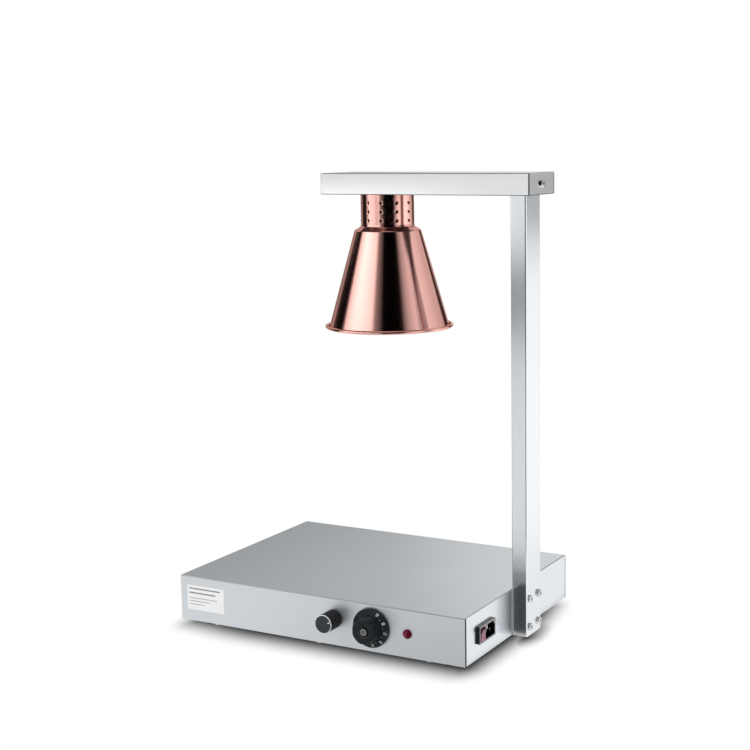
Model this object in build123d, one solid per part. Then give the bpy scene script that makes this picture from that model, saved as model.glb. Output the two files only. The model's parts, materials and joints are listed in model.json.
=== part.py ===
from build123d import *
import math
import os

# Food heat lamp with a heated base, in millimetres: +X right, +Y to the back, +Z up.
# Pieces are placed from the middle of the base, with the floor at Z = 0, and are
# moved to the middle of the whole footprint when they are written out.

# Clearances
SCREW_CLEARANCE = 0.25
THREAD_CLEARANCE = 0.04
RUNNING_CLEARANCE = 0.05
FIT_CLEARANCE = 0.25

# Sheet metal of the base and the arm
SHEET = 1.0
INNER_BEND = 0.6
CORNER_SLIT = 2.4

# Base cover and bottom plate
BASE_WIDTH = 400.0
BASE_DEPTH = 290.0
BASE_HEIGHT = 57.0
RETURN_LIP = 14.0
PLATE_INSET = 2.0
COVER_SCREW_PITCH = 150.0
VENT_LENGTH = 44.0
VENT_WIDTH = 4.0
VENT_PITCH = 11.0
VENT_COUNT = 7
VENT_SPACING = 120.0

# Rubber feet
FOOT_HEIGHT = 7.0
FOOT_RADIUS = 8.0
FOOT_TAPER = 0.8
FOOT_INSET_X = 30.0
FOOT_INSET_Y = 23.0
FOOT_SINK = 3.6

# Controls on the front, with their heights above the lower edge of the cover
DIMMER_X = 26.0
DIMMER_HEIGHT = 32.7
DIAL_X = 77.7
DIAL_HEIGHT = 29.2
PILOT_X = 125.4
PILOT_HEIGHT = 28.4

# Dimmer with its knob
KNOB_RADIUS = 11.3
KNOB_LENGTH = 23.6
KNOB_GAP = 1.2
KNOB_FACE = 3.0
KNOB_EDGE = 0.8
KNURL_COUNT = 40
KNURL_DEPTH = 0.45
POINTER_ANGLE = 20.0
POINTER_WIDTH = 1.4
POINTER_LENGTH = 4.5
POINTER_DEPTH = 0.4
DIMMER_BODY_RADIUS = 12.0
DIMMER_BODY_DEPTH = 13.0
DIMMER_BUSH_RADIUS = 3.6
DIMMER_BUSH_LENGTH = 6.0
SHAFT_RADIUS = 3.0
SHAFT_END_GAP = 0.5
BOARD_WIDTH = 50.0
BOARD_HEIGHT = 34.0
BOARD_THICKNESS = 1.6
HEAT_SINK_SIZE = 22.0
HEAT_SINK_DEPTH = 12.0
HEAT_SINK_FIN = 2.0
BOARD_TERMINAL = 10.0

# Thermostat with its dial
DIAL_RADIUS = 23.6
DIAL_GAP = 1.5
DIAL_SKIRT = 4.0
DIAL_WALL = 2.6
DIAL_BEVEL = 1.8
GRIP_RADIUS = 17.0
GRIP_LENGTH = 15.5
GRIP_LOBES = 8
GRIP_SCALLOP = 1.0
GRIP_TAPER = 7.6
GRIP_EDGE = 1.2
DISH_RADIUS = 8.4
DISH_FLOOR_RADIUS = 6.0
DISH_DEPTH = 3.2
BUTTON_RADIUS = 4.5
BUTTON_HEIGHT = 1.8
THERMOSTAT_WIDTH = 36.0
THERMOSTAT_HEIGHT = 40.0
THERMOSTAT_DEPTH = 25.0
THERMOSTAT_PLATE = 1.5
THERMOSTAT_BUSH = 5.0
THERMOSTAT_HOLES = 28.0
SPINDLE_DEPTH = 18.0
SENSOR_RADIUS = 2.5
SENSOR_LENGTH = 70.0
SENSOR_ROOM = 0.5
CAPILLARY_RADIUS = 0.8
CAPILLARY_BEND = 4.0
CLIP_WALL = 1.0
CLIP_WIDTH = 8.0
CLIP_FOOT = 5.0

# Pilot lamp
PILOT_RADIUS = 5.6
PILOT_FLANGE = 1.3
PILOT_DOME = 2.5
PILOT_BODY_RADIUS = 4.8
PILOT_BODY_DEPTH = 22.0
PILOT_BORE_RADIUS = 3.9
PILOT_STEM = 6.0
PILOT_NUT = 3.0

# Mains inlet with rocker switch on the right side
INLET_Y = -93.4
INLET_HEIGHT = 28.0
SOCKET_WIDTH = 24.6
SOCKET_HEIGHT = 16.8
SOCKET_DEPTH = 17.0
SOCKET_CHAMFER = 5.0
PIN_PITCH = 7.0
PIN_OFFSET = 2.0
PIN_WIDTH = 2.0
PIN_HEIGHT = 4.0
PIN_SETBACK = 4.0
PIN_TAIL = 8.0
SWITCH_WIDTH = 11.0
SWITCH_DEPTH = 14.0
INLET_WALL = 1.5
INLET_DIVIDER = 1.6
INLET_OVERHANG = 0.8
INLET_FLANGE = 3.6
INLET_DEPTH = 20.0
ROCKER_GAP = 0.35
ROCKER_SWING = 1.0
ROCKER_RISE = 1.9
ROCKER_DISH = 1.1
ROCKER_SKIRT = 3.2
ROCKER_TILT = 8.0
PIVOT_SETBACK = 3.2
PIVOT_RADIUS = 1.3
PIVOT_LENGTH = 1.0

# Heater under the top of the base
HEATER_THICKNESS = 2.5
INSULATION_THICKNESS = 8.0
PAN_SHEET = 0.8
PAN_LIP = 12.0
PAN_LEFT = 17.0
PAN_RIGHT = 37.0
PAN_FRONT = 46.0
PAN_BACK = 8.0
STUD_RADIUS = 2.0
STUD_LENGTH = 7.0
LEAD_HOLE_RADIUS = 5.0
LEAD_X = 70.0
LEAD_Y = 78.0

# Terminal block and wires
BLOCK_LENGTH = 20.0
BLOCK_WIDTH = 30.0
BLOCK_HEIGHT = 16.0
BLOCK_SETBACK = 60.0
WIRE_RADIUS = 1.25
WIRE_BEND = 5.0
CABLE_RADIUS = 3.0
WIRE_ENTRY = 9.0

# Post
POST_WIDTH = 20.0
POST_DEPTH = 40.0
POST_WALL = 1.2
POST_CORNER = 1.8
POST_PLUG = 6.0
POST_PLUG_WALL = 2.0
POST_TOP_PLATE = 4.0
POST_SCREW_INSET = 7.0
POST_SCREW_EDGE = 11.0
NUT_PLATE = 2.0
NUT_PLATE_MARGIN = 6.0
SPACER_WALL = 1.4
GROMMET_ROOM = 0.3
GROMMET_FLANGE = 1.6
GROMMET_RIM = 2.0

# Arm
ARM_UNDERSIDE = 535.6
ARM_LENGTH = 277.0
ARM_WIDTH = 74.0
ARM_HEIGHT = 25.6
ARM_OVERHANG = 10.6
TRAY_SHEET = 1.2
TRAY_FLANGE = 19.0
ARM_BOLT_Y = 27.0

# Lamp head
LAMP_INSET = 71.9
SPUN_SHEET = 0.8
NECK_RADIUS = 32.6
NECK_HEIGHT = 40.0
NECK_FLARE = 1.6
NECK_FLARE_HEIGHT = 3.5
VENT_HOLE_RADIUS = 1.7
VENT_DIMPLE = 1.5
VENT_COLUMNS = 11
VENT_ROWS = 3
VENT_ROW_PITCH = 10.7
VENT_ROW_START = 8.5
SHADE_TOP_RADIUS = 40.9
SHADE_SHOULDER = 3.8
SHADE_HEIGHT = 123.5
SHADE_MOUTH_RADIUS = 74.0
RIM_LIP = 5.0
CURL_RADIUS = 1.7
CURL_TURN = 235.0
SHADE_BEND = 1.6
HOLDER_RADIUS = 22.0
HOLDER_ROOM = 1.0
HOLDER_HEIGHT = 42.0
HOLDER_CAVITY = 14.0
HOLDER_CAVITY_DEPTH = 30.0
HOLDER_SCREW_Y = 18.0
HOLDER_SCREW_DEPTH = 10.0
SHELL_WALL = 0.4
SHELL_HEIGHT = 24.0
SHELL_TOP_GAP = 2.5
CONTACT_RADIUS = 6.0
CONTACT_HEIGHT = 1.5
CAP_CLEARANCE = 0.3
CAP_WALL = 0.3
CAP_HEIGHT = 24.0
CAP_TIP_RADIUS = 5.0
CAP_TIP_HEIGHT = 2.0
GLASS_WALL = 1.0
BULB_RADIUS = 47.5
BULB_LENGTH = 114.0
BULB_FACE_RADIUS = 36.0
BULB_SHOULDER = 20.0
BULB_CROWN = 4.0

# Screws, as shank radius, head radius and head height, and nuts, as flats and height
M3_SHANK, M3_HEAD, M3_HEAD_HEIGHT = 1.5, 2.9, 2.0
M4_SHANK, M4_HEAD, M4_HEAD_HEIGHT = 2.0, 3.8, 2.4
M5_SHANK, M5_HEAD, M5_HEAD_HEIGHT = 2.5, 4.7, 3.0
M3_NUT_FLATS, M3_NUT_HEIGHT = 5.5, 2.4
M4_NUT_FLATS, M4_NUT_HEIGHT = 7.0, 3.2
M5_NUT_FLATS, M5_NUT_HEIGHT = 8.0, 4.0
BUSH_NUT_FLATS, BUSH_NUT_HEIGHT = 11.0, 2.4
WASHER_RADIUS, WASHER_HEIGHT = 6.8, 0.6
CROSS_WIDTH, CROSS_SPAN, CROSS_DEPTH = 1.1, 5.6, 1.4
SCREW_TIP = 1.0

# Levels and places that follow from the sizes above
OUTER_BEND = INNER_BEND + SHEET
PLATE_BOTTOM = FOOT_HEIGHT
PLATE_TOP = PLATE_BOTTOM + SHEET
BASE_TOP = PLATE_TOP + BASE_HEIGHT
CEILING = BASE_TOP - SHEET
BASE_SIDE = BASE_WIDTH / 2
BASE_FRONT = BASE_DEPTH / 2
DIMMER_Z = PLATE_TOP + DIMMER_HEIGHT
DIAL_Z = PLATE_TOP + DIAL_HEIGHT
PILOT_Z = PLATE_TOP + PILOT_HEIGHT
INLET_Z = PLATE_TOP + INLET_HEIGHT
POST_MIDDLE_X = BASE_SIDE + POST_WIDTH / 2
POST_OUTSIDE = BASE_SIDE + POST_WIDTH
POST_MIDDLE_Z = PLATE_TOP + BASE_HEIGHT / 2
POST_SCREW_Y = POST_DEPTH - 2 * POST_SCREW_INSET
POST_SCREW_Z = BASE_HEIGHT - 2 * POST_SCREW_EDGE
GROMMET_RADIUS = POST_WIDTH / 2 - POST_WALL - GROMMET_RIM - GROMMET_ROOM
ARM_END = POST_OUTSIDE + ARM_OVERHANG
ARM_MIDDLE_X = ARM_END - ARM_LENGTH / 2
ARM_FLOOR = ARM_UNDERSIDE + TRAY_SHEET
LAMP_X = ARM_END - ARM_LENGTH + LAMP_INSET
NECK_BOTTOM = ARM_UNDERSIDE - NECK_HEIGHT
RIM_BOTTOM = NECK_BOTTOM - SHADE_HEIGHT
RIM_RADIUS = SHADE_MOUTH_RADIUS + RIM_LIP
NECK_FLANGE_RADIUS = HOLDER_RADIUS + HOLDER_ROOM
FLANGE_SCREW_RADIUS = (HOLDER_RADIUS + NECK_RADIUS - SPUN_SHEET) / 2
BULB_NECK_RADIUS = HOLDER_CAVITY - SHELL_WALL - CAP_CLEARANCE - CAP_WALL
KNOB_END = KNOB_GAP + KNOB_LENGTH
DIAL_END = DIAL_GAP + DIAL_SKIRT + GRIP_LENGTH
INLET_BODY_WIDTH = 2 * INLET_WALL + SWITCH_WIDTH + INLET_DIVIDER + SOCKET_WIDTH
INLET_BODY_HEIGHT = SOCKET_HEIGHT + 2 * INLET_WALL
SWITCH_X = -INLET_BODY_WIDTH / 2 + INLET_WALL + SWITCH_WIDTH / 2
SOCKET_X = INLET_BODY_WIDTH / 2 - INLET_WALL - SOCKET_WIDTH / 2

# Planes of the front panel and of the right side, with local Z pointing outwards
FRONT_PLANE = Plane(origin=(0, -BASE_FRONT, 0), x_dir=(1, 0, 0), z_dir=(0, -1, 0))
SIDE_PLANE = Plane(origin=(BASE_SIDE, 0, 0), x_dir=(0, 1, 0), z_dir=(1, 0, 0))


def on_front(x, z):
    return FRONT_PLANE.location * Pos(x, z, 0)


def on_side(y, z):
    return SIDE_PLANE.location * Pos(y, z, 0)


def block(x, y, z):
    size = [high - low for low, high in (x, y, z)]
    middle = [(low + high) / 2 for low, high in (x, y, z)]
    return Pos(*middle) * Box(*size)


def disc(radius, low, high):
    return Pos(0, 0, (low + high) / 2) * Cylinder(radius, high - low)


def ring(outer, inner, low, high):
    return disc(outer, low, high) - disc(inner, low, high)


def turned(*points):
    return revolve(Plane.XZ * make_face(Polyline(*points, close=True)), Axis.Z)


def nut(flats, height, shank):
    outline = RegularPolygon(flats / 2, 6, major_radius=False)
    return extrude(outline - Circle(shank + THREAD_CLEARANCE), height)


def screw(shank, head, head_height, length, cross=False):
    # The seat of the head is at Z = 0 and the shank points down.
    body = disc(shank, -length, 0) + disc(head, 0, head_height)
    if not cross:
        return body
    crown = body.edges().filter_by(GeomType.CIRCLE).sort_by(Axis.Z)[-1]
    body = fillet(crown, head_height / 2)
    slot = Pos(0, 0, head_height) * Box(CROSS_SPAN, CROSS_WIDTH, 2 * CROSS_DEPTH)
    return body - slot - Rot(0, 0, 90) * slot


def mirrored(x, y):
    return [(sx * x, sy * y) for sx in (-1, 1) for sy in (-1, 1)]


def wire(radius, bends, *points):
    path = FilletPolyline(*points, radius=bends)
    start = Plane(origin=path @ 0, z_dir=path % 0)
    return sweep(start * Circle(radius), path=path)


def group(solids):
    return Compound(children=list(solids))


# Folded sheet boxes

def folded_box(width, depth, height):
    # Open below, with the lower edges at Z = 0 and an open seam at each upright corner.
    x, y = width / 2, depth / 2
    outer = block((-x, x), (-y, y), (0, height))
    outer = fillet(outer.faces().sort_by(Axis.Z)[-1].edges(), OUTER_BEND)
    inner = block((SHEET - x, x - SHEET), (SHEET - y, y - SHEET), (0, height - SHEET))
    inner = fillet(inner.faces().sort_by(Axis.Z)[-1].edges(), INNER_BEND)
    slit = Box(2 * SHEET, CORNER_SLIT, 2 * (height - OUTER_BEND))
    slit_y = y - SHEET - CORNER_SLIT / 2
    return outer - inner - [Pos(px, py, 0) * slit for px, py in mirrored(x, slit_y)]


# Base cover and bottom plate

COVER_SCREW_Y = BASE_FRONT - RETURN_LIP / 2
COVER_SCREWS = [
    (column * COVER_SCREW_PITCH, side * COVER_SCREW_Y) for column in (-1, 0, 1) for side in (-1, 1)
]
FEET = mirrored(BASE_SIDE - FOOT_INSET_X, BASE_FRONT - FOOT_INSET_Y)
POST_SCREWS = mirrored(POST_SCREW_Y / 2, POST_SCREW_Z / 2)


def inlet_opening():
    width = INLET_BODY_WIDTH + 2 * FIT_CLEARANCE
    height = INLET_BODY_HEIGHT + 2 * FIT_CLEARANCE
    return on_side(INLET_Y, INLET_Z) * Box(width, height, 4 * SHEET)


def panel_hole(radius):
    return Cylinder(radius, 4 * SHEET)


def base_cover():
    cover = Pos(0, 0, PLATE_TOP) * folded_box(BASE_WIDTH, BASE_DEPTH, BASE_HEIGHT)
    x = BASE_SIDE - SHEET - CORNER_SLIT
    for side in (-1, 1):
        near, far = sorted((side * (BASE_FRONT - SHEET), side * (BASE_FRONT - RETURN_LIP)))
        cover = cover + block((-x, x), (near, far), (PLATE_TOP, PLATE_TOP + SHEET))
    cuts = [inlet_opening()]
    cuts += [on_front(DIMMER_X, DIMMER_Z) * panel_hole(DIMMER_BUSH_RADIUS + FIT_CLEARANCE)]
    cuts += [on_front(DIAL_X, DIAL_Z) * panel_hole(THERMOSTAT_BUSH + FIT_CLEARANCE)]
    cuts += [on_front(PILOT_X, PILOT_Z) * panel_hole(PILOT_BODY_RADIUS + FIT_CLEARANCE)]
    for side in (-1, 1):
        place = on_front(DIAL_X + side * THERMOSTAT_HOLES / 2, DIAL_Z)
        cuts += [place * panel_hole(M4_SHANK + SCREW_CLEARANCE)]
    for y, z in POST_SCREWS:
        cuts += [on_side(y, POST_MIDDLE_Z + z) * panel_hole(M5_SHANK + SCREW_CLEARANCE)]
    cuts += [on_side(0, POST_MIDDLE_Z) * panel_hole(GROMMET_RADIUS)]
    cuts += [Pos(px, py, PLATE_TOP) * panel_hole(M3_SHANK + THREAD_CLEARANCE) for px, py in COVER_SCREWS]
    return cover - cuts


def bottom_plate():
    x, y = BASE_SIDE - PLATE_INSET, BASE_FRONT - PLATE_INSET
    plate = block((-x, x), (-y, y), (PLATE_BOTTOM, PLATE_TOP))
    cuts = [Pos(px, py, PLATE_TOP) * panel_hole(M3_SHANK + SCREW_CLEARANCE) for px, py in COVER_SCREWS]
    cuts += [Pos(px, py, PLATE_TOP) * panel_hole(M4_SHANK + SCREW_CLEARANCE) for px, py in FEET]
    slot = extrude(SlotOverall(VENT_LENGTH, VENT_WIDTH), 4 * SHEET, both=True)
    grid = GridLocations(VENT_SPACING, VENT_PITCH, 2, VENT_COUNT)
    cuts += [Pos(-VENT_SPACING / 2, 0, PLATE_TOP) * place * slot for place in grid]
    return plate - cuts


def cover_screws():
    body = screw(M3_SHANK, M3_HEAD, M3_HEAD_HEIGHT, 2 * SHEET + SCREW_TIP)
    return group(Pos(px, py, PLATE_BOTTOM) * Rot(180, 0, 0) * body for px, py in COVER_SCREWS)


# Feet

def foot():
    low, high = FOOT_RADIUS - FOOT_TAPER, FOOT_RADIUS
    sink, hole = M4_HEAD + FIT_CLEARANCE, M4_SHANK + SCREW_CLEARANCE
    return turned(
        (sink, 0), (low, 0), (high, FOOT_HEIGHT), (hole, FOOT_HEIGHT), (hole, FOOT_SINK), (sink, FOOT_SINK)
    )


def foot_screws():
    length = PLATE_TOP - FOOT_SINK + M4_NUT_HEIGHT + SCREW_TIP
    body = Pos(0, 0, FOOT_SINK) * Rot(180, 0, 0) * screw(M4_SHANK, M4_HEAD, M4_HEAD_HEIGHT, length)
    lock = Pos(0, 0, PLATE_TOP) * nut(M4_NUT_FLATS, M4_NUT_HEIGHT, M4_SHANK)
    return group(Pos(px, py, 0) * piece for px, py in FEET for piece in (body, lock))


# Dimmer, drawn with its axis on local Z and the outside of the panel at Z = 0

BUSH_END = DIMMER_BUSH_LENGTH
SHAFT_START = -SHEET - DIMMER_BODY_DEPTH + 2 * SHAFT_END_GAP
DIMMER_BACK = -SHEET - DIMMER_BODY_DEPTH
BOARD_BACK = DIMMER_BACK - BOARD_THICKNESS


def dimmer_pot():
    body = disc(DIMMER_BODY_RADIUS, DIMMER_BACK, -SHEET) + disc(DIMMER_BUSH_RADIUS, -SHEET, BUSH_END)
    return body - disc(SHAFT_RADIUS + RUNNING_CLEARANCE, SHAFT_START - SHAFT_END_GAP, BUSH_END)


def dimmer_shaft():
    return disc(SHAFT_RADIUS, SHAFT_START, KNOB_END - KNOB_FACE)


def dimmer_nut():
    washer = ring(WASHER_RADIUS, DIMMER_BUSH_RADIUS + SCREW_CLEARANCE, 0, WASHER_HEIGHT)
    lock = Pos(0, 0, WASHER_HEIGHT) * nut(BUSH_NUT_FLATS, BUSH_NUT_HEIGHT, DIMMER_BUSH_RADIUS)
    return group([washer, lock])


def dimmer_knob():
    knob = disc(KNOB_RADIUS, KNOB_GAP, KNOB_END)
    knob = chamfer(knob.edges().filter_by(GeomType.CIRCLE), KNOB_EDGE)
    groove = Rot(0, 0, 45) * Box(2 * KNURL_DEPTH, 2 * KNURL_DEPTH, KNOB_LENGTH - 4 * KNOB_EDGE)
    places = PolarLocations(KNOB_RADIUS, KNURL_COUNT)
    knob = knob - [Pos(0, 0, (KNOB_GAP + KNOB_END) / 2) * place * groove for place in places]
    hollow = WASHER_RADIUS + FIT_CLEARANCE
    knob = knob - disc(hollow, KNOB_GAP, BUSH_END + KNOB_GAP)
    knob = knob - disc(SHAFT_RADIUS, KNOB_GAP, KNOB_END - KNOB_FACE)
    mark = Pos(KNOB_RADIUS, 0, KNOB_END) * Box(2 * POINTER_LENGTH, POINTER_WIDTH, 2 * POINTER_DEPTH)
    return knob - Rot(0, 0, POINTER_ANGLE) * mark


def dimmer_board():
    x, y = BOARD_WIDTH / 2, BOARD_HEIGHT / 2
    board = block((-x, x), (-y, y), (BOARD_BACK, DIMMER_BACK))
    corner = (x - BOARD_TERMINAL, x)
    return board + block(corner, (-y, BOARD_TERMINAL - y), (BOARD_BACK - BOARD_TERMINAL, BOARD_BACK))


def dimmer_heat_sink():
    half = HEAT_SINK_SIZE / 2
    back = BOARD_BACK - HEAT_SINK_DEPTH
    body = block((-half, half), (-half, half), (back, BOARD_BACK))
    gap = (HEAT_SINK_SIZE - 3 * HEAT_SINK_FIN) / 2
    for side in (-1, 1):
        middle = side * (gap + HEAT_SINK_FIN) / 2
        slot = (middle - gap / 2, middle + gap / 2)
        body = body - block(slot, (-half, half), (back, BOARD_BACK - HEAT_SINK_FIN))
    return Pos(half - BOARD_WIDTH / 2, 0, 0) * body


# Thermostat, drawn in the same way

PLATE_BACK = -SHEET - THERMOSTAT_PLATE
THERMOSTAT_BACK = PLATE_BACK - THERMOSTAT_DEPTH
SPINDLE_START = PLATE_BACK - SPINDLE_DEPTH
SKIRT_END = DIAL_GAP + DIAL_SKIRT


def thermostat_body():
    x, y = THERMOSTAT_WIDTH / 2, THERMOSTAT_HEIGHT / 2
    body = block((-x, x), (-y, y), (THERMOSTAT_BACK, PLATE_BACK))
    tongue = THERMOSTAT_HOLES / 2 + M4_NUT_FLATS
    body = body + block((-tongue, tongue), (-y / 2, y / 2), (PLATE_BACK, -SHEET))
    body = body + disc(THERMOSTAT_BUSH, -SHEET, DIAL_GAP)
    body = body - disc(SHAFT_RADIUS + RUNNING_CLEARANCE, SPINDLE_START - SHAFT_END_GAP, DIAL_GAP)
    hole = disc(M4_SHANK + THREAD_CLEARANCE, PLATE_BACK - M4_NUT_HEIGHT - SCREW_TIP, 0)
    return body - [Pos(side * THERMOSTAT_HOLES / 2, 0, 0) * hole for side in (-1, 1)]


def thermostat_screws():
    body = screw(M4_SHANK, M4_HEAD, M4_HEAD_HEIGHT, SHEET + THERMOSTAT_PLATE + M4_NUT_HEIGHT)
    return group(Pos(side * THERMOSTAT_HOLES / 2, 0, 0) * body for side in (-1, 1))


def thermostat_spindle():
    return disc(SHAFT_RADIUS, SPINDLE_START, DIAL_END - DISH_DEPTH - GRIP_EDGE)


def thermostat_dial():
    skirt = turned(
        (0, DIAL_GAP),
        (DIAL_RADIUS, DIAL_GAP),
        (DIAL_RADIUS, SKIRT_END - DIAL_BEVEL),
        (GRIP_RADIUS, SKIRT_END),
        (0, SKIRT_END),
    )
    scallop = 2 * math.pi * GRIP_RADIUS / GRIP_LOBES / 2
    depth_radius = (scallop**2 / 4 + GRIP_SCALLOP**2) / (2 * GRIP_SCALLOP)
    centre = GRIP_RADIUS - GRIP_SCALLOP + depth_radius
    outline = Circle(GRIP_RADIUS) - [
        place * Circle(depth_radius) for place in PolarLocations(centre, GRIP_LOBES)
    ]
    grip = Pos(0, 0, SKIRT_END) * extrude(outline, GRIP_LENGTH, taper=GRIP_TAPER)
    # A cone at 45 degrees breaks the front edge of the lobes.
    face = GRIP_RADIUS - GRIP_LENGTH * math.tan(math.radians(GRIP_TAPER)) - GRIP_EDGE
    grip = grip & turned((0, SKIRT_END), (face + GRIP_LENGTH, SKIRT_END), (face, DIAL_END), (0, DIAL_END))
    dial = skirt + grip
    floor = DIAL_END - DISH_DEPTH
    dial = dial - turned((0, floor), (DISH_FLOOR_RADIUS, floor), (DISH_RADIUS, DIAL_END), (0, DIAL_END))
    dial = dial + disc(BUTTON_RADIUS, floor, floor + BUTTON_HEIGHT)
    hollow = disc(DIAL_RADIUS - DIAL_WALL, DIAL_GAP, DIAL_GAP + DIAL_SKIRT - DIAL_WALL)
    return dial - hollow - disc(SHAFT_RADIUS, DIAL_GAP, floor - GRIP_EDGE)


# Sensor bulb of the thermostat under the top of the base

SENSOR_SETBACK = PAN_FRONT - SENSOR_ROOM - CLIP_FOOT - CLIP_WALL - SENSOR_RADIUS
SENSOR_Y = SENSOR_SETBACK - BASE_FRONT
SENSOR_Z = CEILING - SENSOR_RADIUS
SENSOR_END = DIAL_X - THERMOSTAT_WIDTH
THERMOSTAT_REAR_Y = -BASE_FRONT - THERMOSTAT_BACK


def sensor_bulb():
    bulb = Rot(0, 90, 0) * Cylinder(SENSOR_RADIUS, SENSOR_LENGTH)
    bulb = Pos(SENSOR_END - SENSOR_LENGTH / 2, SENSOR_Y, SENSOR_Z) * bulb
    entry = DIAL_X - THERMOSTAT_WIDTH / 4
    height = DIAL_Z + THERMOSTAT_HEIGHT / 4
    tube = wire(
        CAPILLARY_RADIUS,
        2 * [CAPILLARY_BEND],
        (SENSOR_END, SENSOR_Y, SENSOR_Z),
        (entry - 2 * CAPILLARY_BEND, SENSOR_Y, SENSOR_Z),
        (entry, SENSOR_Y, height),
        (entry, THERMOSTAT_REAR_Y, height),
    )
    return bulb + tube


def sensor_clips():
    inside, outside = SENSOR_RADIUS, SENSOR_RADIUS + CLIP_WALL
    low = SENSOR_Z - outside
    saddle = block((-CLIP_WIDTH / 2, CLIP_WIDTH / 2), (-outside, outside), (low, CEILING))
    feet = outside + CLIP_FOOT
    saddle = saddle + block((-CLIP_WIDTH / 2, CLIP_WIDTH / 2), (-feet, feet), (CEILING - CLIP_WALL, CEILING))
    saddle = saddle - block((-CLIP_WIDTH, CLIP_WIDTH), (-inside, inside), (SENSOR_Z, CEILING))
    saddle = saddle - Pos(0, 0, SENSOR_Z) * Rot(0, 90, 0) * Cylinder(inside, 2 * CLIP_WIDTH)
    middle = SENSOR_END - SENSOR_LENGTH / 2
    return group(Pos(middle + side * SENSOR_LENGTH / 3, SENSOR_Y, 0) * saddle for side in (-1, 1))


# Pilot lamp, drawn with its axis on local Z

def pilot_lens():
    dome = PILOT_RADIUS - PILOT_FLANGE
    return turned(
        (0, -PILOT_STEM),
        (PILOT_BORE_RADIUS - RUNNING_CLEARANCE, -PILOT_STEM),
        (PILOT_BORE_RADIUS - RUNNING_CLEARANCE, 0),
        (PILOT_RADIUS, 0),
        (PILOT_RADIUS, PILOT_FLANGE),
        (dome, PILOT_FLANGE + PILOT_DOME / 2),
        (dome / 2, PILOT_FLANGE + PILOT_DOME),
        (0, PILOT_FLANGE + PILOT_DOME),
    )


def pilot_body():
    body = disc(PILOT_BODY_RADIUS, -PILOT_BODY_DEPTH, 0)
    return body - disc(PILOT_BORE_RADIUS, -PILOT_STEM - SHEET, 0)


def pilot_nut():
    lock = nut(2 * PILOT_RADIUS + 4 * SHEET, PILOT_NUT, PILOT_BODY_RADIUS)
    return Pos(0, 0, -SHEET - PILOT_NUT) * lock


# Mains inlet, drawn with local X along the side, local Y up and local Z outwards

PIVOT_Z = INLET_FLANGE - PIVOT_SETBACK
SOCKET_FLOOR = INLET_FLANGE - SOCKET_DEPTH
PINS = [(-PIN_PITCH, -PIN_OFFSET), (0, PIN_OFFSET), (PIN_PITCH, -PIN_OFFSET)]


def inlet_housing():
    flange_width = INLET_BODY_WIDTH + 2 * INLET_OVERHANG
    flange_height = INLET_BODY_HEIGHT + 2 * INLET_OVERHANG
    flange = extrude(RectangleRounded(flange_width, flange_height, INLET_WALL), INLET_FLANGE)
    flange = chamfer(flange.faces().sort_by(Axis.Z)[-1].edges(), INLET_OVERHANG / 2)
    body = Pos(0, 0, -INLET_DEPTH / 2) * Box(INLET_BODY_WIDTH, INLET_BODY_HEIGHT, INLET_DEPTH)
    x, y = SOCKET_WIDTH / 2, SOCKET_HEIGHT / 2
    socket = Polyline(
        (-x, -y), (x, -y), (x, y - SOCKET_CHAMFER), (x - SOCKET_CHAMFER, y),
        (SOCKET_CHAMFER - x, y), (-x, y - SOCKET_CHAMFER), close=True,
    )
    recess = Pos(SOCKET_X, 0, SOCKET_FLOOR) * extrude(make_face(socket), SOCKET_DEPTH)
    bay = Pos(SWITCH_X, 0, INLET_FLANGE - SWITCH_DEPTH / 2) * Box(SWITCH_WIDTH, SOCKET_HEIGHT, SWITCH_DEPTH)
    span = SWITCH_WIDTH + 2 * PIVOT_LENGTH + 2 * FIT_CLEARANCE
    pivot = Rot(0, 90, 0) * Cylinder(PIVOT_RADIUS + RUNNING_CLEARANCE, span)
    slot = Box(PIN_WIDTH, PIN_HEIGHT, 2 * INLET_DEPTH)
    slots = [Pos(SOCKET_X + px, py, SOCKET_FLOOR - INLET_DEPTH) * slot for px, py in PINS]
    return flange + body - recess - bay - Pos(SWITCH_X, 0, PIVOT_Z) * pivot - slots


def inlet_pins():
    low, high = -INLET_DEPTH - PIN_TAIL, INLET_FLANGE - PIN_SETBACK
    x, y = PIN_WIDTH / 2, PIN_HEIGHT / 2
    blade = block((-x, x), (-y, y), (low, high))
    return group(Pos(SOCKET_X + px, py, 0) * blade for px, py in PINS)


def rocker():
    top = PIVOT_SETBACK + ROCKER_RISE
    foot_half = SOCKET_HEIGHT / 2 - ROCKER_SWING
    top_half = foot_half - ROCKER_GAP
    width = SWITCH_WIDTH - 2 * ROCKER_GAP
    side = make_face(
        Polyline(
            (-ROCKER_SKIRT, -ROCKER_SKIRT), (0, -foot_half), (top, -top_half), (top - ROCKER_DISH, 0),
            (top, top_half), (0, foot_half), (-ROCKER_SKIRT, ROCKER_SKIRT), close=True,
        )
    )
    body = extrude(side, width / 2, both=True)
    body = body + Cylinder(PIVOT_RADIUS, SWITCH_WIDTH + 2 * PIVOT_LENGTH)
    # Local X of the sketch turns to point outwards, and the pivot lies along the side.
    upright = Plane(origin=(SWITCH_X, 0, PIVOT_Z), x_dir=(0, 0, 1), z_dir=(1, 0, 0))
    return upright.location * Rot(0, 0, ROCKER_TILT) * body


# Heater under the top

PAN_X = (PAN_LEFT - BASE_SIDE, BASE_SIDE - PAN_RIGHT)
PAN_Y = (PAN_FRONT - BASE_FRONT, BASE_FRONT - PAN_BACK)
PAN_DEPTH = HEATER_THICKNESS + INSULATION_THICKNESS + PAN_SHEET
LEAD_PLACE = (LEAD_X, LEAD_Y - BASE_FRONT)


def heater_box(inset, low, high):
    x = (PAN_X[0] + inset, PAN_X[1] - inset)
    y = (PAN_Y[0] + inset, PAN_Y[1] - inset)
    return block(x, y, (CEILING - high, CEILING - low))


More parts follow.
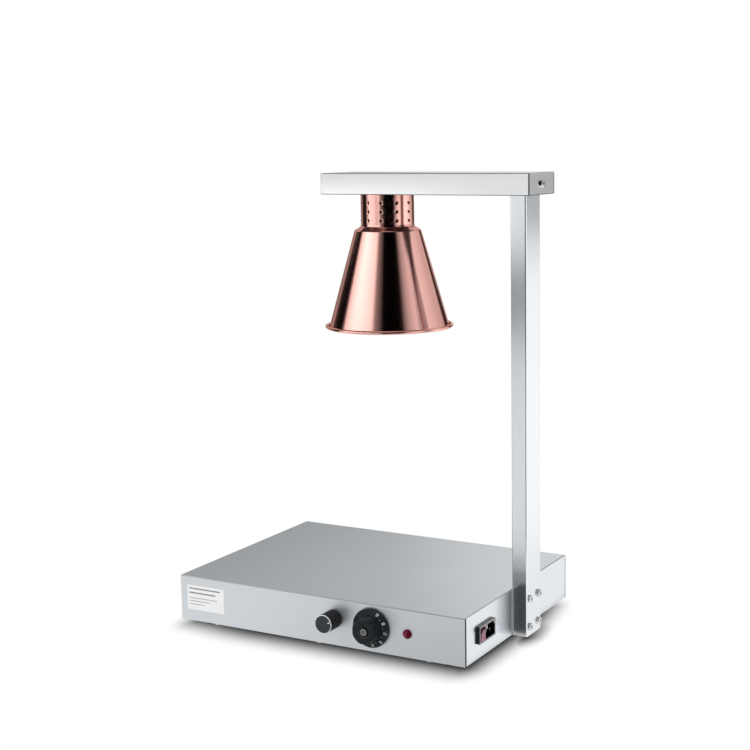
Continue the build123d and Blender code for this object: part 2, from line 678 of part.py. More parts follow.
def lead_hole():
    return Pos(*LEAD_PLACE, CEILING) * Cylinder(LEAD_HOLE_RADIUS, 4 * PAN_DEPTH)


STUD_INSET = PAN_LIP / 2
STUDS = [
    (x, y)
    for x in (PAN_X[0] + STUD_INSET, sum(PAN_X) / 2, PAN_X[1] - STUD_INSET)
    for y in (PAN_Y[0] + STUD_INSET, PAN_Y[1] - STUD_INSET)
]


def heater_pan():
    pan = heater_box(0, 0, PAN_SHEET) + heater_box(PAN_LIP, 0, PAN_DEPTH)
    pan = pan - heater_box(PAN_LIP + PAN_SHEET, 0, PAN_DEPTH - PAN_SHEET) - lead_hole()
    hole = Cylinder(STUD_RADIUS + SCREW_CLEARANCE, 4 * PAN_SHEET)
    return pan - [Pos(px, py, CEILING) * hole for px, py in STUDS]


def heater_mat():
    return heater_box(PAN_LIP + PAN_SHEET, 0, HEATER_THICKNESS)


def heater_insulation():
    return heater_box(PAN_LIP + PAN_SHEET, HEATER_THICKNESS, PAN_DEPTH - PAN_SHEET) - lead_hole()


def heater_studs():
    stud = disc(STUD_RADIUS, -STUD_LENGTH, 0)
    lock = Pos(0, 0, -PAN_SHEET - M4_NUT_HEIGHT) * nut(M4_NUT_FLATS, M4_NUT_HEIGHT, STUD_RADIUS)
    return group(Pos(px, py, CEILING) * piece for px, py in STUDS for piece in (stud, lock))


# Terminal block and wires inside the base

BLOCK_X = (BASE_SIDE - BLOCK_SETBACK - BLOCK_LENGTH, BASE_SIDE - BLOCK_SETBACK)
BLOCK_Y = INLET_Y + SOCKET_X
WAY_Z = PLATE_TOP + WIRE_ENTRY
TAIL_X = BASE_SIDE - INLET_DEPTH - PIN_TAIL
MAT_BOTTOM = CEILING - HEATER_THICKNESS
BOARD_REAR_Y = -BASE_FRONT - BOARD_BACK


def terminal_block():
    y = (BLOCK_Y - BLOCK_WIDTH / 2, BLOCK_Y + BLOCK_WIDTH / 2)
    return block(BLOCK_X, y, (PLATE_TOP, PLATE_TOP + BLOCK_HEIGHT))


def mains_wires():
    solids = []
    for offset, rise in PINS:
        y, z = BLOCK_Y + offset, INLET_Z + rise
        third = (TAIL_X - BLOCK_X[1]) / 3
        solids += [
            wire(
                WIRE_RADIUS,
                2 * [WIRE_BEND],
                (TAIL_X, y, z),
                (TAIL_X - third, y, z),
                (BLOCK_X[1] + third, y, WAY_Z),
                (BLOCK_X[1], y, WAY_Z),
            )
        ]
    return group(solids)


def heater_wires():
    low, high = LEAD_PLACE[0] - 2.0, LEAD_PLACE[0] + 2.0
    lead_y = LEAD_PLACE[1]
    neutral = wire(
        WIRE_RADIUS,
        2 * [WIRE_BEND],
        (BLOCK_X[0], BLOCK_Y - PIN_PITCH, WAY_Z),
        (BLOCK_X[0] - 30.0, BLOCK_Y - PIN_PITCH, WAY_Z),
        (high, lead_y, WAY_Z),
        (high, lead_y, MAT_BOTTOM),
    )
    feed_x = DIAL_X + THERMOSTAT_WIDTH / 6
    feed_z = DIAL_Z - THERMOSTAT_HEIGHT / 4
    switched = wire(
        WIRE_RADIUS,
        2 * [WIRE_BEND],
        (feed_x, THERMOSTAT_REAR_Y, feed_z),
        (feed_x, THERMOSTAT_REAR_Y + 16.0, feed_z),
        (low, lead_y, feed_z),
        (low, lead_y, MAT_BOTTOM),
    )
    supply_x = DIAL_X + THERMOSTAT_WIDTH / 2.6
    supply_z = DIAL_Z - THERMOSTAT_HEIGHT / 2.6
    supply = wire(
        WIRE_RADIUS,
        2 * [WIRE_BEND],
        (BLOCK_X[0], BLOCK_Y + PIN_PITCH, WAY_Z),
        (BLOCK_X[0] - 13.0, BLOCK_Y + PIN_PITCH, WAY_Z),
        (supply_x, THERMOSTAT_REAR_Y + 18.0, supply_z),
        (supply_x, THERMOSTAT_REAR_Y, supply_z),
    )
    return group([neutral, switched, supply])


TERMINAL_X = DIMMER_X + BOARD_WIDTH / 2 - BOARD_TERMINAL / 2
TERMINAL_REAR_Y = BOARD_REAR_Y + BOARD_TERMINAL
TERMINAL_Z = DIMMER_Z - BOARD_HEIGHT / 2 + BOARD_TERMINAL / 2


def dimmer_wires():
    # The supply of the dimmer, low over the bottom plate from the block to the board.
    y = BLOCK_Y + PIN_PITCH
    z = WAY_Z - 5.0
    x = TERMINAL_X + 3.0
    return wire(
        WIRE_RADIUS,
        3 * [WIRE_BEND],
        (BLOCK_X[0], y, z),
        (BLOCK_X[0] - 12.0, y, z),
        (x, y - 12.0, z),
        (x, TERMINAL_REAR_Y + 8.0, TERMINAL_Z - 2.5),
        (x, TERMINAL_REAR_Y, TERMINAL_Z - 2.5),
    )


def pilot_wires():
    solids = []
    back = PILOT_BODY_DEPTH - BASE_FRONT
    for side in (-1, 1):
        x = PILOT_X + 2.5 * side
        y = BLOCK_Y + PIN_PITCH * side
        top = PLATE_TOP + BLOCK_HEIGHT
        solids += [
            wire(WIRE_RADIUS, [WIRE_BEND], (x, back, PILOT_Z), (x, y, PILOT_Z), (x, y, top))
        ]
    return group(solids)


def lamp_cable():
    top_z = ARM_FLOOR + (ARM_HEIGHT - TRAY_SHEET) / 2
    return wire(
        CABLE_RADIUS,
        [8.0, 12.0, 20.0, 20.0, 20.0, 7.5, 9.0, 8.0],
        (TERMINAL_X - 1.5, TERMINAL_REAR_Y, TERMINAL_Z + 1.5),
        (TERMINAL_X - 1.5, TERMINAL_REAR_Y + 10.0, TERMINAL_Z + 1.5),
        (TERMINAL_X + 14.0, TERMINAL_REAR_Y + 22.0, POST_MIDDLE_Z),
        (DIMMER_X + 74.0, TERMINAL_REAR_Y + 30.0, POST_MIDDLE_Z),
        (BASE_SIDE - 50.0, -30.0, POST_MIDDLE_Z),
        (BASE_SIDE - 24.0, 0, POST_MIDDLE_Z),
        (POST_MIDDLE_X, 0, POST_MIDDLE_Z),
        (POST_MIDDLE_X, 0, top_z),
        (LAMP_X, 0, top_z),
        (LAMP_X, 0, ARM_UNDERSIDE),
    )


# Post

def tube_outline(offset, corner):
    return RectangleRounded(POST_WIDTH - 2 * offset, POST_DEPTH - 2 * offset, corner)


INNER_CORNER = POST_CORNER - POST_WALL


def post_tube():
    wall = tube_outline(0, POST_CORNER) - tube_outline(POST_WALL, INNER_CORNER)
    tube = Pos(POST_MIDDLE_X, 0, PLATE_TOP) * extrude(wall, ARM_UNDERSIDE - PLATE_TOP)
    through = Cylinder(M5_SHANK + SCREW_CLEARANCE, 4 * POST_WIDTH)
    cuts = [on_side(y, POST_MIDDLE_Z + z) * through for y, z in POST_SCREWS]
    return tube - cuts - on_side(0, POST_MIDDLE_Z) * panel_hole(GROMMET_RADIUS)


def post_plug():
    outline = tube_outline(POST_WALL, INNER_CORNER)
    plug = extrude(outline, POST_PLUG)
    inside = tube_outline(POST_WALL + POST_PLUG_WALL, INNER_CORNER)
    plug = plug - Pos(0, 0, POST_PLUG_WALL) * extrude(inside, POST_PLUG)
    return Pos(POST_MIDDLE_X, 0, PLATE_TOP) * plug


def post_spacers():
    inner = M5_SHANK + SCREW_CLEARANCE
    sleeve = ring(inner + SPACER_WALL, inner, POST_WALL, POST_WIDTH - POST_WALL)
    return group(on_side(y, POST_MIDDLE_Z + z) * sleeve for y, z in POST_SCREWS)


def post_nut_plate():
    width, height = POST_SCREW_Y + 2 * NUT_PLATE_MARGIN, POST_SCREW_Z + 2 * NUT_PLATE_MARGIN
    plate = Pos(0, 0, -SHEET - NUT_PLATE / 2) * Box(width, height, NUT_PLATE)
    hole = Cylinder(M5_SHANK + SCREW_CLEARANCE, 4 * POST_WIDTH)
    plate = plate - [Pos(y, z, 0) * hole for y, z in POST_SCREWS]
    return on_side(0, POST_MIDDLE_Z) * (plate - Cylinder(GROMMET_RADIUS + 2 * GROMMET_RIM, 4 * POST_WIDTH))


def post_screws():
    length = POST_WIDTH + SHEET + NUT_PLATE + M5_NUT_HEIGHT + SCREW_TIP
    body = Pos(0, 0, POST_WIDTH) * screw(M5_SHANK, M5_HEAD, M5_HEAD_HEIGHT, length, cross=True)
    lock = Pos(0, 0, -SHEET - NUT_PLATE - M5_NUT_HEIGHT) * nut(M5_NUT_FLATS, M5_NUT_HEIGHT, M5_SHANK)
    places = [on_side(y, POST_MIDDLE_Z + z) for y, z in POST_SCREWS]
    return group(place * piece for place in places for piece in (body, lock))


def grommet(low, high):
    # A rubber ring for two sheets that lie between the two levels on its axis.
    rim = GROMMET_RADIUS + GROMMET_RIM
    bore = CABLE_RADIUS + FIT_CLEARANCE
    return turned(
        (bore, low - GROMMET_FLANGE),
        (rim, low - GROMMET_FLANGE),
        (rim, low),
        (GROMMET_RADIUS, low),
        (GROMMET_RADIUS, high),
        (rim, high),
        (rim, high + GROMMET_FLANGE),
        (bore, high + GROMMET_FLANGE),
    )


def cable_grommet():
    return on_side(0, POST_MIDDLE_Z) * grommet(-SHEET, POST_WALL)


def post_top_plate():
    outline = tube_outline(POST_WALL, INNER_CORNER)
    plate = extrude(outline, POST_TOP_PLATE) - Cylinder(GROMMET_RADIUS, 4 * POST_TOP_PLATE)
    hole = Cylinder(M5_SHANK + THREAD_CLEARANCE, 4 * POST_TOP_PLATE)
    plate = plate - [Pos(0, side * ARM_BOLT_Y / 2, 0) * hole for side in (-1, 1)]
    return Pos(POST_MIDDLE_X, 0, ARM_UNDERSIDE - POST_TOP_PLATE) * plate


# Arm

LAMP_SCREWS = [(0, side * HOLDER_SCREW_Y) for side in (-1, 1)]
FLANGE_SCREWS = [
    (FLANGE_SCREW_RADIUS * math.cos(math.radians(turn)), FLANGE_SCREW_RADIUS * math.sin(math.radians(turn)))
    for turn in (0, 120, 240)
]
ARM_SCREW_Z = ARM_UNDERSIDE + ARM_HEIGHT / 2


def end_screw_place():
    return on_side(0, ARM_SCREW_Z) * Pos(0, 0, ARM_END - BASE_SIDE)


def arm_cover():
    cover = Pos(ARM_MIDDLE_X, 0, ARM_UNDERSIDE) * folded_box(ARM_LENGTH, ARM_WIDTH, ARM_HEIGHT)
    return cover - end_screw_place() * panel_hole(M5_SHANK + SCREW_CLEARANCE)


def arm_tray():
    # A shallow channel that closes the arm from below, with its flanges inside the cover.
    x = ARM_LENGTH / 2 - SHEET - FIT_CLEARANCE
    y = ARM_WIDTH / 2 - SHEET - FIT_CLEARANCE
    tray = block((-x, x), (-y, y), (0, TRAY_FLANGE))
    inner_x, inner_y = x - TRAY_SHEET, y - TRAY_SHEET
    tray = tray - block((-inner_x, inner_x), (-inner_y, inner_y), (TRAY_SHEET, TRAY_FLANGE))
    tray = Pos(ARM_MIDDLE_X, 0, ARM_UNDERSIDE) * tray
    cuts = [end_screw_place() * Cylinder(M5_SHANK + SCREW_CLEARANCE, 8 * SHEET)]
    cuts += [Pos(POST_MIDDLE_X, 0, ARM_UNDERSIDE) * panel_hole(GROMMET_RADIUS)]
    for side in (-1, 1):
        place = Pos(POST_MIDDLE_X, side * ARM_BOLT_Y / 2, ARM_UNDERSIDE)
        cuts += [place * panel_hole(M5_SHANK + SCREW_CLEARANCE)]
    lamp = Pos(LAMP_X, 0, ARM_UNDERSIDE)
    cuts += [lamp * panel_hole(CABLE_RADIUS + 2 * GROMMET_RIM)]
    cuts += [lamp * Pos(px, py) * panel_hole(M4_SHANK + SCREW_CLEARANCE) for px, py in LAMP_SCREWS]
    cuts += [lamp * Pos(px, py) * panel_hole(M3_SHANK + SCREW_CLEARANCE) for px, py in FLANGE_SCREWS]
    return tray - cuts


def arm_bolts():
    length = TRAY_SHEET + POST_TOP_PLATE + SCREW_TIP
    body = screw(M5_SHANK, M4_HEAD, M5_HEAD_HEIGHT, length)
    places = [Pos(POST_MIDDLE_X, side * ARM_BOLT_Y / 2, ARM_FLOOR) for side in (-1, 1)]
    return group(place * body for place in places)


def arm_grommet():
    return Pos(POST_MIDDLE_X, 0, ARM_UNDERSIDE) * grommet(-POST_TOP_PLATE, TRAY_SHEET)


INNER_FLANGE = -SHEET - FIT_CLEARANCE - TRAY_SHEET


def arm_end_screw():
    length = M5_NUT_HEIGHT + SCREW_TIP - INNER_FLANGE
    body = screw(M5_SHANK, M5_HEAD, M5_HEAD_HEIGHT, length, cross=True)
    lock = Pos(0, 0, INNER_FLANGE - M5_NUT_HEIGHT) * nut(M5_NUT_FLATS, M5_NUT_HEIGHT, M5_SHANK)
    return group(end_screw_place() * piece for piece in (body, lock))


# Lamp head, drawn with its axis on local Z and the underside of the arm at Z = 0

def lamp_neck():
    inner = NECK_RADIUS - SPUN_SHEET
    low = -NECK_HEIGHT
    neck = turned(
        (NECK_FLANGE_RADIUS, 0),
        (NECK_RADIUS, 0),
        (NECK_RADIUS, low + NECK_FLARE_HEIGHT),
        (NECK_RADIUS + NECK_FLARE / 4, low + NECK_FLARE_HEIGHT / 3),
        (NECK_RADIUS + NECK_FLARE, low),
        (NECK_FLANGE_RADIUS, low),
        (NECK_FLANGE_RADIUS, low + SPUN_SHEET),
        (inner, low + SPUN_SHEET),
        (inner, -SPUN_SHEET),
        (NECK_FLANGE_RADIUS, -SPUN_SHEET),
    )
    reach = NECK_RADIUS - 2 * SPUN_SHEET
    punch = turned(
        (0, reach),
        (VENT_HOLE_RADIUS, reach),
        (VENT_HOLE_RADIUS, NECK_RADIUS - SPUN_SHEET / 2),
        (VENT_HOLE_RADIUS + VENT_DIMPLE, NECK_RADIUS + SPUN_SHEET / 4),
        (0, NECK_RADIUS + SPUN_SHEET / 4),
    )
    punch = Rot(90, 0, 0) * punch
    holes = []
    for column in range(VENT_COLUMNS):
        turn = Rot(0, 0, (column + 0.5) * 360 / VENT_COLUMNS)
        for row in range(VENT_ROWS):
            holes += [Pos(0, 0, low + VENT_ROW_START + row * VENT_ROW_PITCH) * turn * punch]
    screws = [Pos(px, py) * Cylinder(M3_SHANK + SCREW_CLEARANCE, 4 * NECK_HEIGHT) for px, py in FLANGE_SCREWS]
    return neck - holes - screws


def lamp_shade():
    # One line through the middle of the sheet, from the top flange to the rolled rim.
    half = SPUN_SHEET / 2
    top = -NECK_HEIGHT - half
    bottom = RIM_BOTTOM - ARM_UNDERSIDE + half
    curl_x = RIM_RADIUS - half - CURL_RADIUS
    wall = FilletPolyline(
        (NECK_FLANGE_RADIUS, top),
        (NECK_RADIUS + NECK_FLARE, top),
        (SHADE_TOP_RADIUS - half, top - SHADE_SHOULDER),
        (SHADE_MOUTH_RADIUS, bottom),
        (curl_x, bottom),
        radius=[SHADE_BEND, SHADE_BEND, SHADE_BEND],
    )
    curl = JernArc((curl_x, bottom), (1, 0), CURL_RADIUS, CURL_TURN)
    shade = revolve(Plane.XZ * trace([wall, curl], SPUN_SHEET), Axis.Z)
    hole = Cylinder(M3_SHANK + SCREW_CLEARANCE, 4 * SPUN_SHEET)
    return shade - [Pos(px, py, top) * hole for px, py in FLANGE_SCREWS]


def flange_bolt(seat, grip, upward):
    # A screw through two sheets with its nut: the head sits at one level, the nut at the far side.
    bolt = screw(M3_SHANK, M3_HEAD, M3_HEAD_HEIGHT, grip + M3_NUT_HEIGHT + SCREW_TIP)
    lock = Pos(0, 0, -grip - M3_NUT_HEIGHT) * nut(M3_NUT_FLATS, M3_NUT_HEIGHT, M3_SHANK)
    turn = Rot(180, 0, 0) if upward else Rot(0, 0, 0)
    return [Pos(px, py, seat) * turn * piece for px, py in FLANGE_SCREWS for piece in (bolt, lock)]


def neck_screws():
    return group(flange_bolt(TRAY_SHEET, TRAY_SHEET + SPUN_SHEET, False))


def shade_screws():
    return group(flange_bolt(-NECK_HEIGHT - SPUN_SHEET, 2 * SPUN_SHEET, True))


def lampholder():
    body = disc(HOLDER_RADIUS, -HOLDER_HEIGHT, 0)
    body = body - disc(HOLDER_CAVITY, -HOLDER_HEIGHT, HOLDER_CAVITY_DEPTH - HOLDER_HEIGHT)
    hole = disc(M4_SHANK + THREAD_CLEARANCE, -HOLDER_SCREW_DEPTH - SCREW_TIP, 0)
    return body - [Pos(px, py) * hole for px, py in LAMP_SCREWS]


def holder_screws():
    body = screw(M4_SHANK, M4_HEAD, M4_HEAD_HEIGHT, TRAY_SHEET + HOLDER_SCREW_DEPTH)
    return group(Pos(px, py, TRAY_SHEET) * body for px, py in LAMP_SCREWS)


CAVITY_END = HOLDER_CAVITY_DEPTH - HOLDER_HEIGHT
SHELL_END = CAVITY_END - SHELL_TOP_GAP
SHELL_BORE = HOLDER_CAVITY - SHELL_WALL


def holder_shell():
    return ring(HOLDER_CAVITY, SHELL_BORE, SHELL_END - SHELL_HEIGHT, SHELL_END)


def holder_contact():
    return disc(CONTACT_RADIUS, CAVITY_END - CONTACT_HEIGHT, CAVITY_END)


TIP_END = CAVITY_END - CONTACT_HEIGHT
CAP_END = TIP_END - CAP_TIP_HEIGHT
GLASS_TOP = CAP_END - CAP_HEIGHT


def bulb_cap():
    return disc(SHELL_BORE - CAP_CLEARANCE, GLASS_TOP, CAP_END) + disc(CAP_TIP_RADIUS, CAP_END, TIP_END)


def bulb_line(inset):
    # One side of the glass, from the cap to the middle of the face.
    face = GLASS_TOP - BULB_LENGTH + inset
    neck = BULB_NECK_RADIUS - inset
    widest = (BULB_RADIUS - inset, face + BULB_CROWN + BULB_SHOULDER)
    edge = (BULB_FACE_RADIUS - inset, face + BULB_CROWN)
    slope = (-1, -0.25)
    stem = Line((neck, GLASS_TOP), (neck, GLASS_TOP - BULB_NECK_RADIUS))
    flare = Spline(stem @ 1, widest, tangents=[(0, -1), (0, -1)])
    shoulder = Spline(widest, edge, tangents=[(0, -1), slope])
    front = Spline(edge, (0, face), tangents=[slope, (-1, 0)])
    return [stem, flare, shoulder, front]


def bulb_glass():
    outside, inside = bulb_line(0), bulb_line(GLASS_WALL)
    ends = [Line(outside[0] @ 0, inside[0] @ 0), Line(outside[-1] @ 1, inside[-1] @ 1)]
    return revolve(Plane.XZ * make_face(outside + inside + ends), Axis.Z)


# All nodes, each with the place of its drawing

ON_DIMMER = on_front(DIMMER_X, DIMMER_Z)
ON_DIAL = on_front(DIAL_X, DIAL_Z)
ON_PILOT = on_front(PILOT_X, PILOT_Z)
ON_INLET = on_side(INLET_Y, INLET_Z)
ON_LAMP = Pos(LAMP_X, 0, ARM_UNDERSIDE)

FOOT_NAMES = ["foot_front_left", "foot_rear_left", "foot_front_right", "foot_rear_right"]

NODES = {
    "base_cover": base_cover(),
    "bottom_plate": bottom_plate(),
    "cover_screws": cover_screws(),
    "foot_screws": foot_screws(),
    "dimmer_pot": ON_DIMMER * dimmer_pot(),
    "dimmer_shaft": ON_DIMMER * dimmer_shaft(),
    "dimmer_nut": ON_DIMMER * dimmer_nut(),
    "dimmer_knob": ON_DIMMER * dimmer_knob(),
    "dimmer_board": ON_DIMMER * dimmer_board(),
    "dimmer_heat_sink": ON_DIMMER * dimmer_heat_sink(),
    "thermostat_body": ON_DIAL * thermostat_body(),
    "thermostat_screws": ON_DIAL * thermostat_screws(),
    "thermostat_spindle": ON_DIAL * thermostat_spindle(),
    "thermostat_dial": ON_DIAL * thermostat_dial(),
    "sensor_bulb": sensor_bulb(),
    "sensor_clips": sensor_clips(),
    "pilot_lens": ON_PILOT * pilot_lens(),
    "pilot_body": ON_PILOT * pilot_body(),
    "pilot_nut": ON_PILOT * pilot_nut(),
    "inlet_housing": ON_INLET * inlet_housing(),
    "inlet_pins": ON_INLET * inlet_pins(),
    "rocker": ON_INLET * rocker(),
    "heater_pan": heater_pan(),
    "heater_mat": heater_mat(),
    "heater_insulation": heater_insulation(),
    "heater_studs": heater_studs(),
    "terminal_block": terminal_block(),
    "mains_wires": mains_wires(),
    "heater_wires": heater_wires(),
    "dimmer_wire": dimmer_wires(),
    "pilot_wires": pilot_wires(),
    "lamp_cable": lamp_cable(),
    "post_tube": post_tube(),
    "post_plug": post_plug(),
    "post_spacers": post_spacers(),
    "post_nut_plate": post_nut_plate(),
    "post_screws": post_screws(),
    "cable_grommet": cable_grommet(),
    "post_top_plate": post_top_plate(),
    "arm_cover": arm_cover(),
    "arm_tray": arm_tray(),
    "arm_bolts": arm_bolts(),
    "arm_grommet": arm_grommet(),
    "arm_end_screw": arm_end_screw(),
    "lamp_neck": ON_LAMP * lamp_neck(),
    "lamp_shade": ON_LAMP * lamp_shade(),
    "neck_screws": ON_LAMP * neck_screws(),
    "shade_screws": ON_LAMP * shade_screws(),
    "lampholder": ON_LAMP * lampholder(),
    "holder_screws": ON_LAMP * holder_screws(),
    "holder_shell": ON_LAMP * holder_shell(),
    "holder_contact": ON_LAMP * holder_contact(),
    "bulb_cap": ON_LAMP * bulb_cap(),
    "bulb_glass": ON_LAMP * bulb_glass(),
}
for name, (foot_x, foot_y) in zip(FOOT_NAMES, FEET):
    NODES[name] = Pos(foot_x, foot_y, 0) * foot()

# The origin is on the floor under the middle of the whole footprint.
END_SCREW_FACE = ARM_END + M5_HEAD_HEIGHT
MIDDLE_X = (END_SCREW_FACE - BASE_SIDE) / 2
MIDDLE_Y = -max(KNOB_END, DIAL_END) / 2

os.makedirs("parts", exist_ok=True)
for name, shape in NODES.items():
    export_step(Pos(-MIDDLE_X, -MIDDLE_Y, 0) * shape, f"parts/{name}.step")
print(len(NODES), "nodes, origin moved by", round(MIDDLE_X, 2), round(MIDDLE_Y, 2))
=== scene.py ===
# %% [markdown]
# # A food heat lamp
# The stand holds a copper lamp head over a heated steel box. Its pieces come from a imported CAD
# model, which stays as it is. This lesson adds what the model leaves out: the finish of each
# surface, the printing on the dial and the label, a studio and a camera. Lengths are in metres.

# %% Load the frame
import json
import math

import bmesh
import bpy
from mathutils import Matrix, Vector


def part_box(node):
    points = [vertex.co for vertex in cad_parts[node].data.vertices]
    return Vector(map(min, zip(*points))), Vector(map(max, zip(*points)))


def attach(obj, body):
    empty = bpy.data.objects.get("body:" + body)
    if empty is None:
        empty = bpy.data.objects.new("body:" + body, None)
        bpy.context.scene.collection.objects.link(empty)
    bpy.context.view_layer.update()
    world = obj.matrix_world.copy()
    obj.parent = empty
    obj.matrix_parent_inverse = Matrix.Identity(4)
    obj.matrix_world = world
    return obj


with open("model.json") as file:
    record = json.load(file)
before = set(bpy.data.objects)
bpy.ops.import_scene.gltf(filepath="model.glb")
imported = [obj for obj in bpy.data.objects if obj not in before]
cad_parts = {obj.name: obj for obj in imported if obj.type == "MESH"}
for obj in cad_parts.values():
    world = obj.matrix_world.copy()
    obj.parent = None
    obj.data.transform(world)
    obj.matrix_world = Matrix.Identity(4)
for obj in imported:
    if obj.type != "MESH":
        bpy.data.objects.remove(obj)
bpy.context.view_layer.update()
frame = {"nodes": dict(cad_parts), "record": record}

MM = 0.001

# %% [markdown]
# ## The camera
# The stand is seen from the right front, a little from above, through a lens of short tele
# length. The place and the angles come from fitting the corners of the base, the post and the
# arm. A track-to constraint could aim the camera too, but three angles also hold the small roll.

# %% Camera
CAMERA_PLACE = Vector((0.9084, -1.5515, 0.6002))
CAMERA_TURN = math.radians(28.35)
CAMERA_DIP = math.radians(9.11)
CAMERA_ROLL = math.radians(-0.76)
IMAGE_SIDE = 750
FOCAL_PIXELS = 1469.6
AXIS_PIXEL = 430


def camera_matrix(turn, dip, roll):
    right = Vector((math.cos(turn), math.sin(turn), 0))
    level = Vector((-math.sin(turn), math.cos(turn), 0))
    forward = math.cos(dip) * level - math.sin(dip) * Vector((0, 0, 1))
    up = right.cross(forward)
    rolled_right = math.cos(roll) * right + math.sin(roll) * up
    rolled_up = math.cos(roll) * up - math.sin(roll) * right
    return Matrix((rolled_right, rolled_up, -forward)).transposed().to_4x4()


lens = bpy.data.cameras.new("studio_camera")
lens.lens = lens.sensor_width * FOCAL_PIXELS / IMAGE_SIDE
lens.shift_x = 0.5 - AXIS_PIXEL / IMAGE_SIDE
lens.clip_end = 100
camera = bpy.data.objects.new("studio_camera", lens)
camera_aim = camera_matrix(CAMERA_TURN, CAMERA_DIP, CAMERA_ROLL)
camera.matrix_world = Matrix.Translation(CAMERA_PLACE) @ camera_aim
bpy.context.scene.collection.objects.link(camera)
bpy.context.scene.camera = camera
bpy.context.scene.view_settings.view_transform = "Standard"
print("camera lens", round(lens.lens, 2), "mm, shift", round(lens.shift_x, 4))

# %% [markdown]
# ## Shader maths as Python
# A finish is a small formula: noise, masks and mixes. Wiring each Math node by hand hides that
# formula, so a class wraps one output socket and turns + - * / into Math nodes. Everything else
# comes from one method that takes a node's type, its settings and its sockets.

# %% Wires and trees
class Wire:
    """One output socket. Arithmetic on it adds Math nodes."""

    def __init__(self, tree, socket):
        self.tree, self.socket = tree, socket

    def out(self, name):
        return Wire(self.tree, self.socket.node.outputs[name])

    def __add__(self, other):
        return self.tree.math("ADD", self, other)

    __radd__ = __add__

    def __sub__(self, other):
        return self.tree.math("SUBTRACT", self, other)

    def __rsub__(self, other):
        return self.tree.math("SUBTRACT", other, self)

    def __mul__(self, other):
        return self.tree.math("MULTIPLY", self, other)

    __rmul__ = __mul__

    def __truediv__(self, other):
        return self.tree.math("DIVIDE", self, other)

    def __pow__(self, other):
        return self.tree.math("POWER", self, other)

    def __abs__(self):
        return self.tree.math("ABSOLUTE", self)

    def __neg__(self):
        return self.tree.math("MULTIPLY", self, -1.0)

    def at_least(self, low):
        return self.tree.math("MAXIMUM", self, low)

    def at_most(self, high):
        return self.tree.math("MINIMUM", self, high)

    def step(self, low, high):
        """0 below low, 1 above high, and a smooth rise between them."""
        ends = {"Value": self, "From Min": low, "From Max": high}
        return self.tree.node("MapRange", {"interpolation_type": "SMOOTHSTEP"}, ends)


class Tree:
    """The nodes of a material or of the world."""

    def __init__(self, owner):
        owner.use_nodes = True
        self.nodes, self.links = owner.node_tree.nodes, owner.node_tree.links
        self.nodes.clear()

    def node(self, kind, settings=None, sockets=None, output=0):
        made = self.nodes.new("ShaderNode" + kind)
        for name, value in (settings or {}).items():
            setattr(made, name, value)
        for name, value in (sockets or {}).items():
            if isinstance(value, Wire):
                self.links.new(value.socket, made.inputs[name])
            else:
                made.inputs[name].default_value = value
        return Wire(self, made.outputs[output]) if made.outputs else None

    def math(self, operation, *values):
        return self.node("Math", {"operation": operation}, dict(enumerate(values)))


print("shader helpers ready")

# %% [markdown]
# ## Pieces that every finish uses
# Each finish reads the place of a point in the object's own space, so grain keeps its real scale
# and turns with its piece. Stretched noise makes brush lines, and one function closes each
# material with a Principled shader.

# %% Finish helpers
def colour(red, green, blue):
    return (red, green, blue, 1.0)


def place_of(tree):
    return tree.node("TexCoord", output="Object")


def axes(tree, vector):
    split = tree.node("SeparateXYZ", sockets={0: vector})
    return split, split.out("Y"), split.out("Z")


def length(first, second):
    return (first * first + second * second) ** 0.5


def noise(tree, vector, cycles, detail=2.0):
    """Noise with its own count of cycles per metre along x, y and z."""
    scaled = tree.node("VectorMath", {"operation": "MULTIPLY"}, {0: vector, 1: cycles})
    return tree.node("TexNoise", sockets={"Vector": scaled, "Scale": 1.0, "Detail": detail})


def blend(tree, factor, first, second):
    return tree.node("Mix", {"data_type": "RGBA"}, {0: factor, 6: first, 7: second}, output=2)


def bump(tree, height, strength, distance):
    return tree.node("Bump", sockets={"Height": height, "Strength": strength, "Distance": distance})


def new_tree(name):
    material = bpy.data.materials.new(name)
    return material, Tree(material)


def close(tree, sockets):
    shader = tree.node("BsdfPrincipled", sockets=sockets)
    tree.node("OutputMaterial", sockets={"Surface": shader})


# How much of a normal lies along an axis where a face begins to point that way, and where it does.
FACING = (0.6, 0.8)
print("finish helpers ready")

# %% [markdown]
# ## Brushed stainless sheet
# The box, the post and the arm are folded from sheet with a fine straight grain. An anisotropic
# shader needs a tangent, which a flat folded box doesn't give, so thin stretched noise tilts the
# surface instead. The grain runs along the long side of each piece, and turns on its end faces.

# %% Brushed stainless
SEAM_SHADE_WIDTH = 3.8 * MM
# Width of the dark line painted as shade along the bottom and left edges of the arm cover.
EDGE_SHADE_WIDTH = 0.8 * MM
# Black of the rubber feet; it is also the painted shade at the seams and edges of the covers.
RUBBER_AND_SHADE_BLACK = (0.012, 0.012, 0.013)
SATIN, BASE_SATIN, BASE_FRONT = 0.13, 0.17, 0.42
COOL = [(0.707, 0.745, 0.775), (0.746, 0.78, 0.808)]
MILD = [(0.715, 0.745, 0.768), (0.755, 0.78, 0.8)]
PLAIN = [(0.735, 0.745, 0.755), (0.77, 0.78, 0.79)]
LENGTHWAYS = (14, 1300, 1300)
CROSSWAYS = (1300, 14, 1300)
UPRIGHT = (1300, 1300, 14)


def beside_seams(tree, place, ends, node):
    """1 on the end faces of a folded cover along its front seams, painted black as shade beside the
    open seam.
    """
    low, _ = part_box(node)
    _, y, _ = axes(tree, place)
    return ends * (low.y + SEAM_SHADE_WIDTH - y).step(0.0, 0.2 * MM)


def raw_edges(tree, place, node):
    """1 in a thin strip at the bottom and at the left end of a cover, where a dark line is painted as
    shade along its edges.
    """
    low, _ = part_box(node)
    x, _, z = axes(tree, place)
    return (low.z + EDGE_SHADE_WIDTH - z).at_least(low.x + EDGE_SHADE_WIDTH / 2 - x).step(0.0, 0.1 * MM)


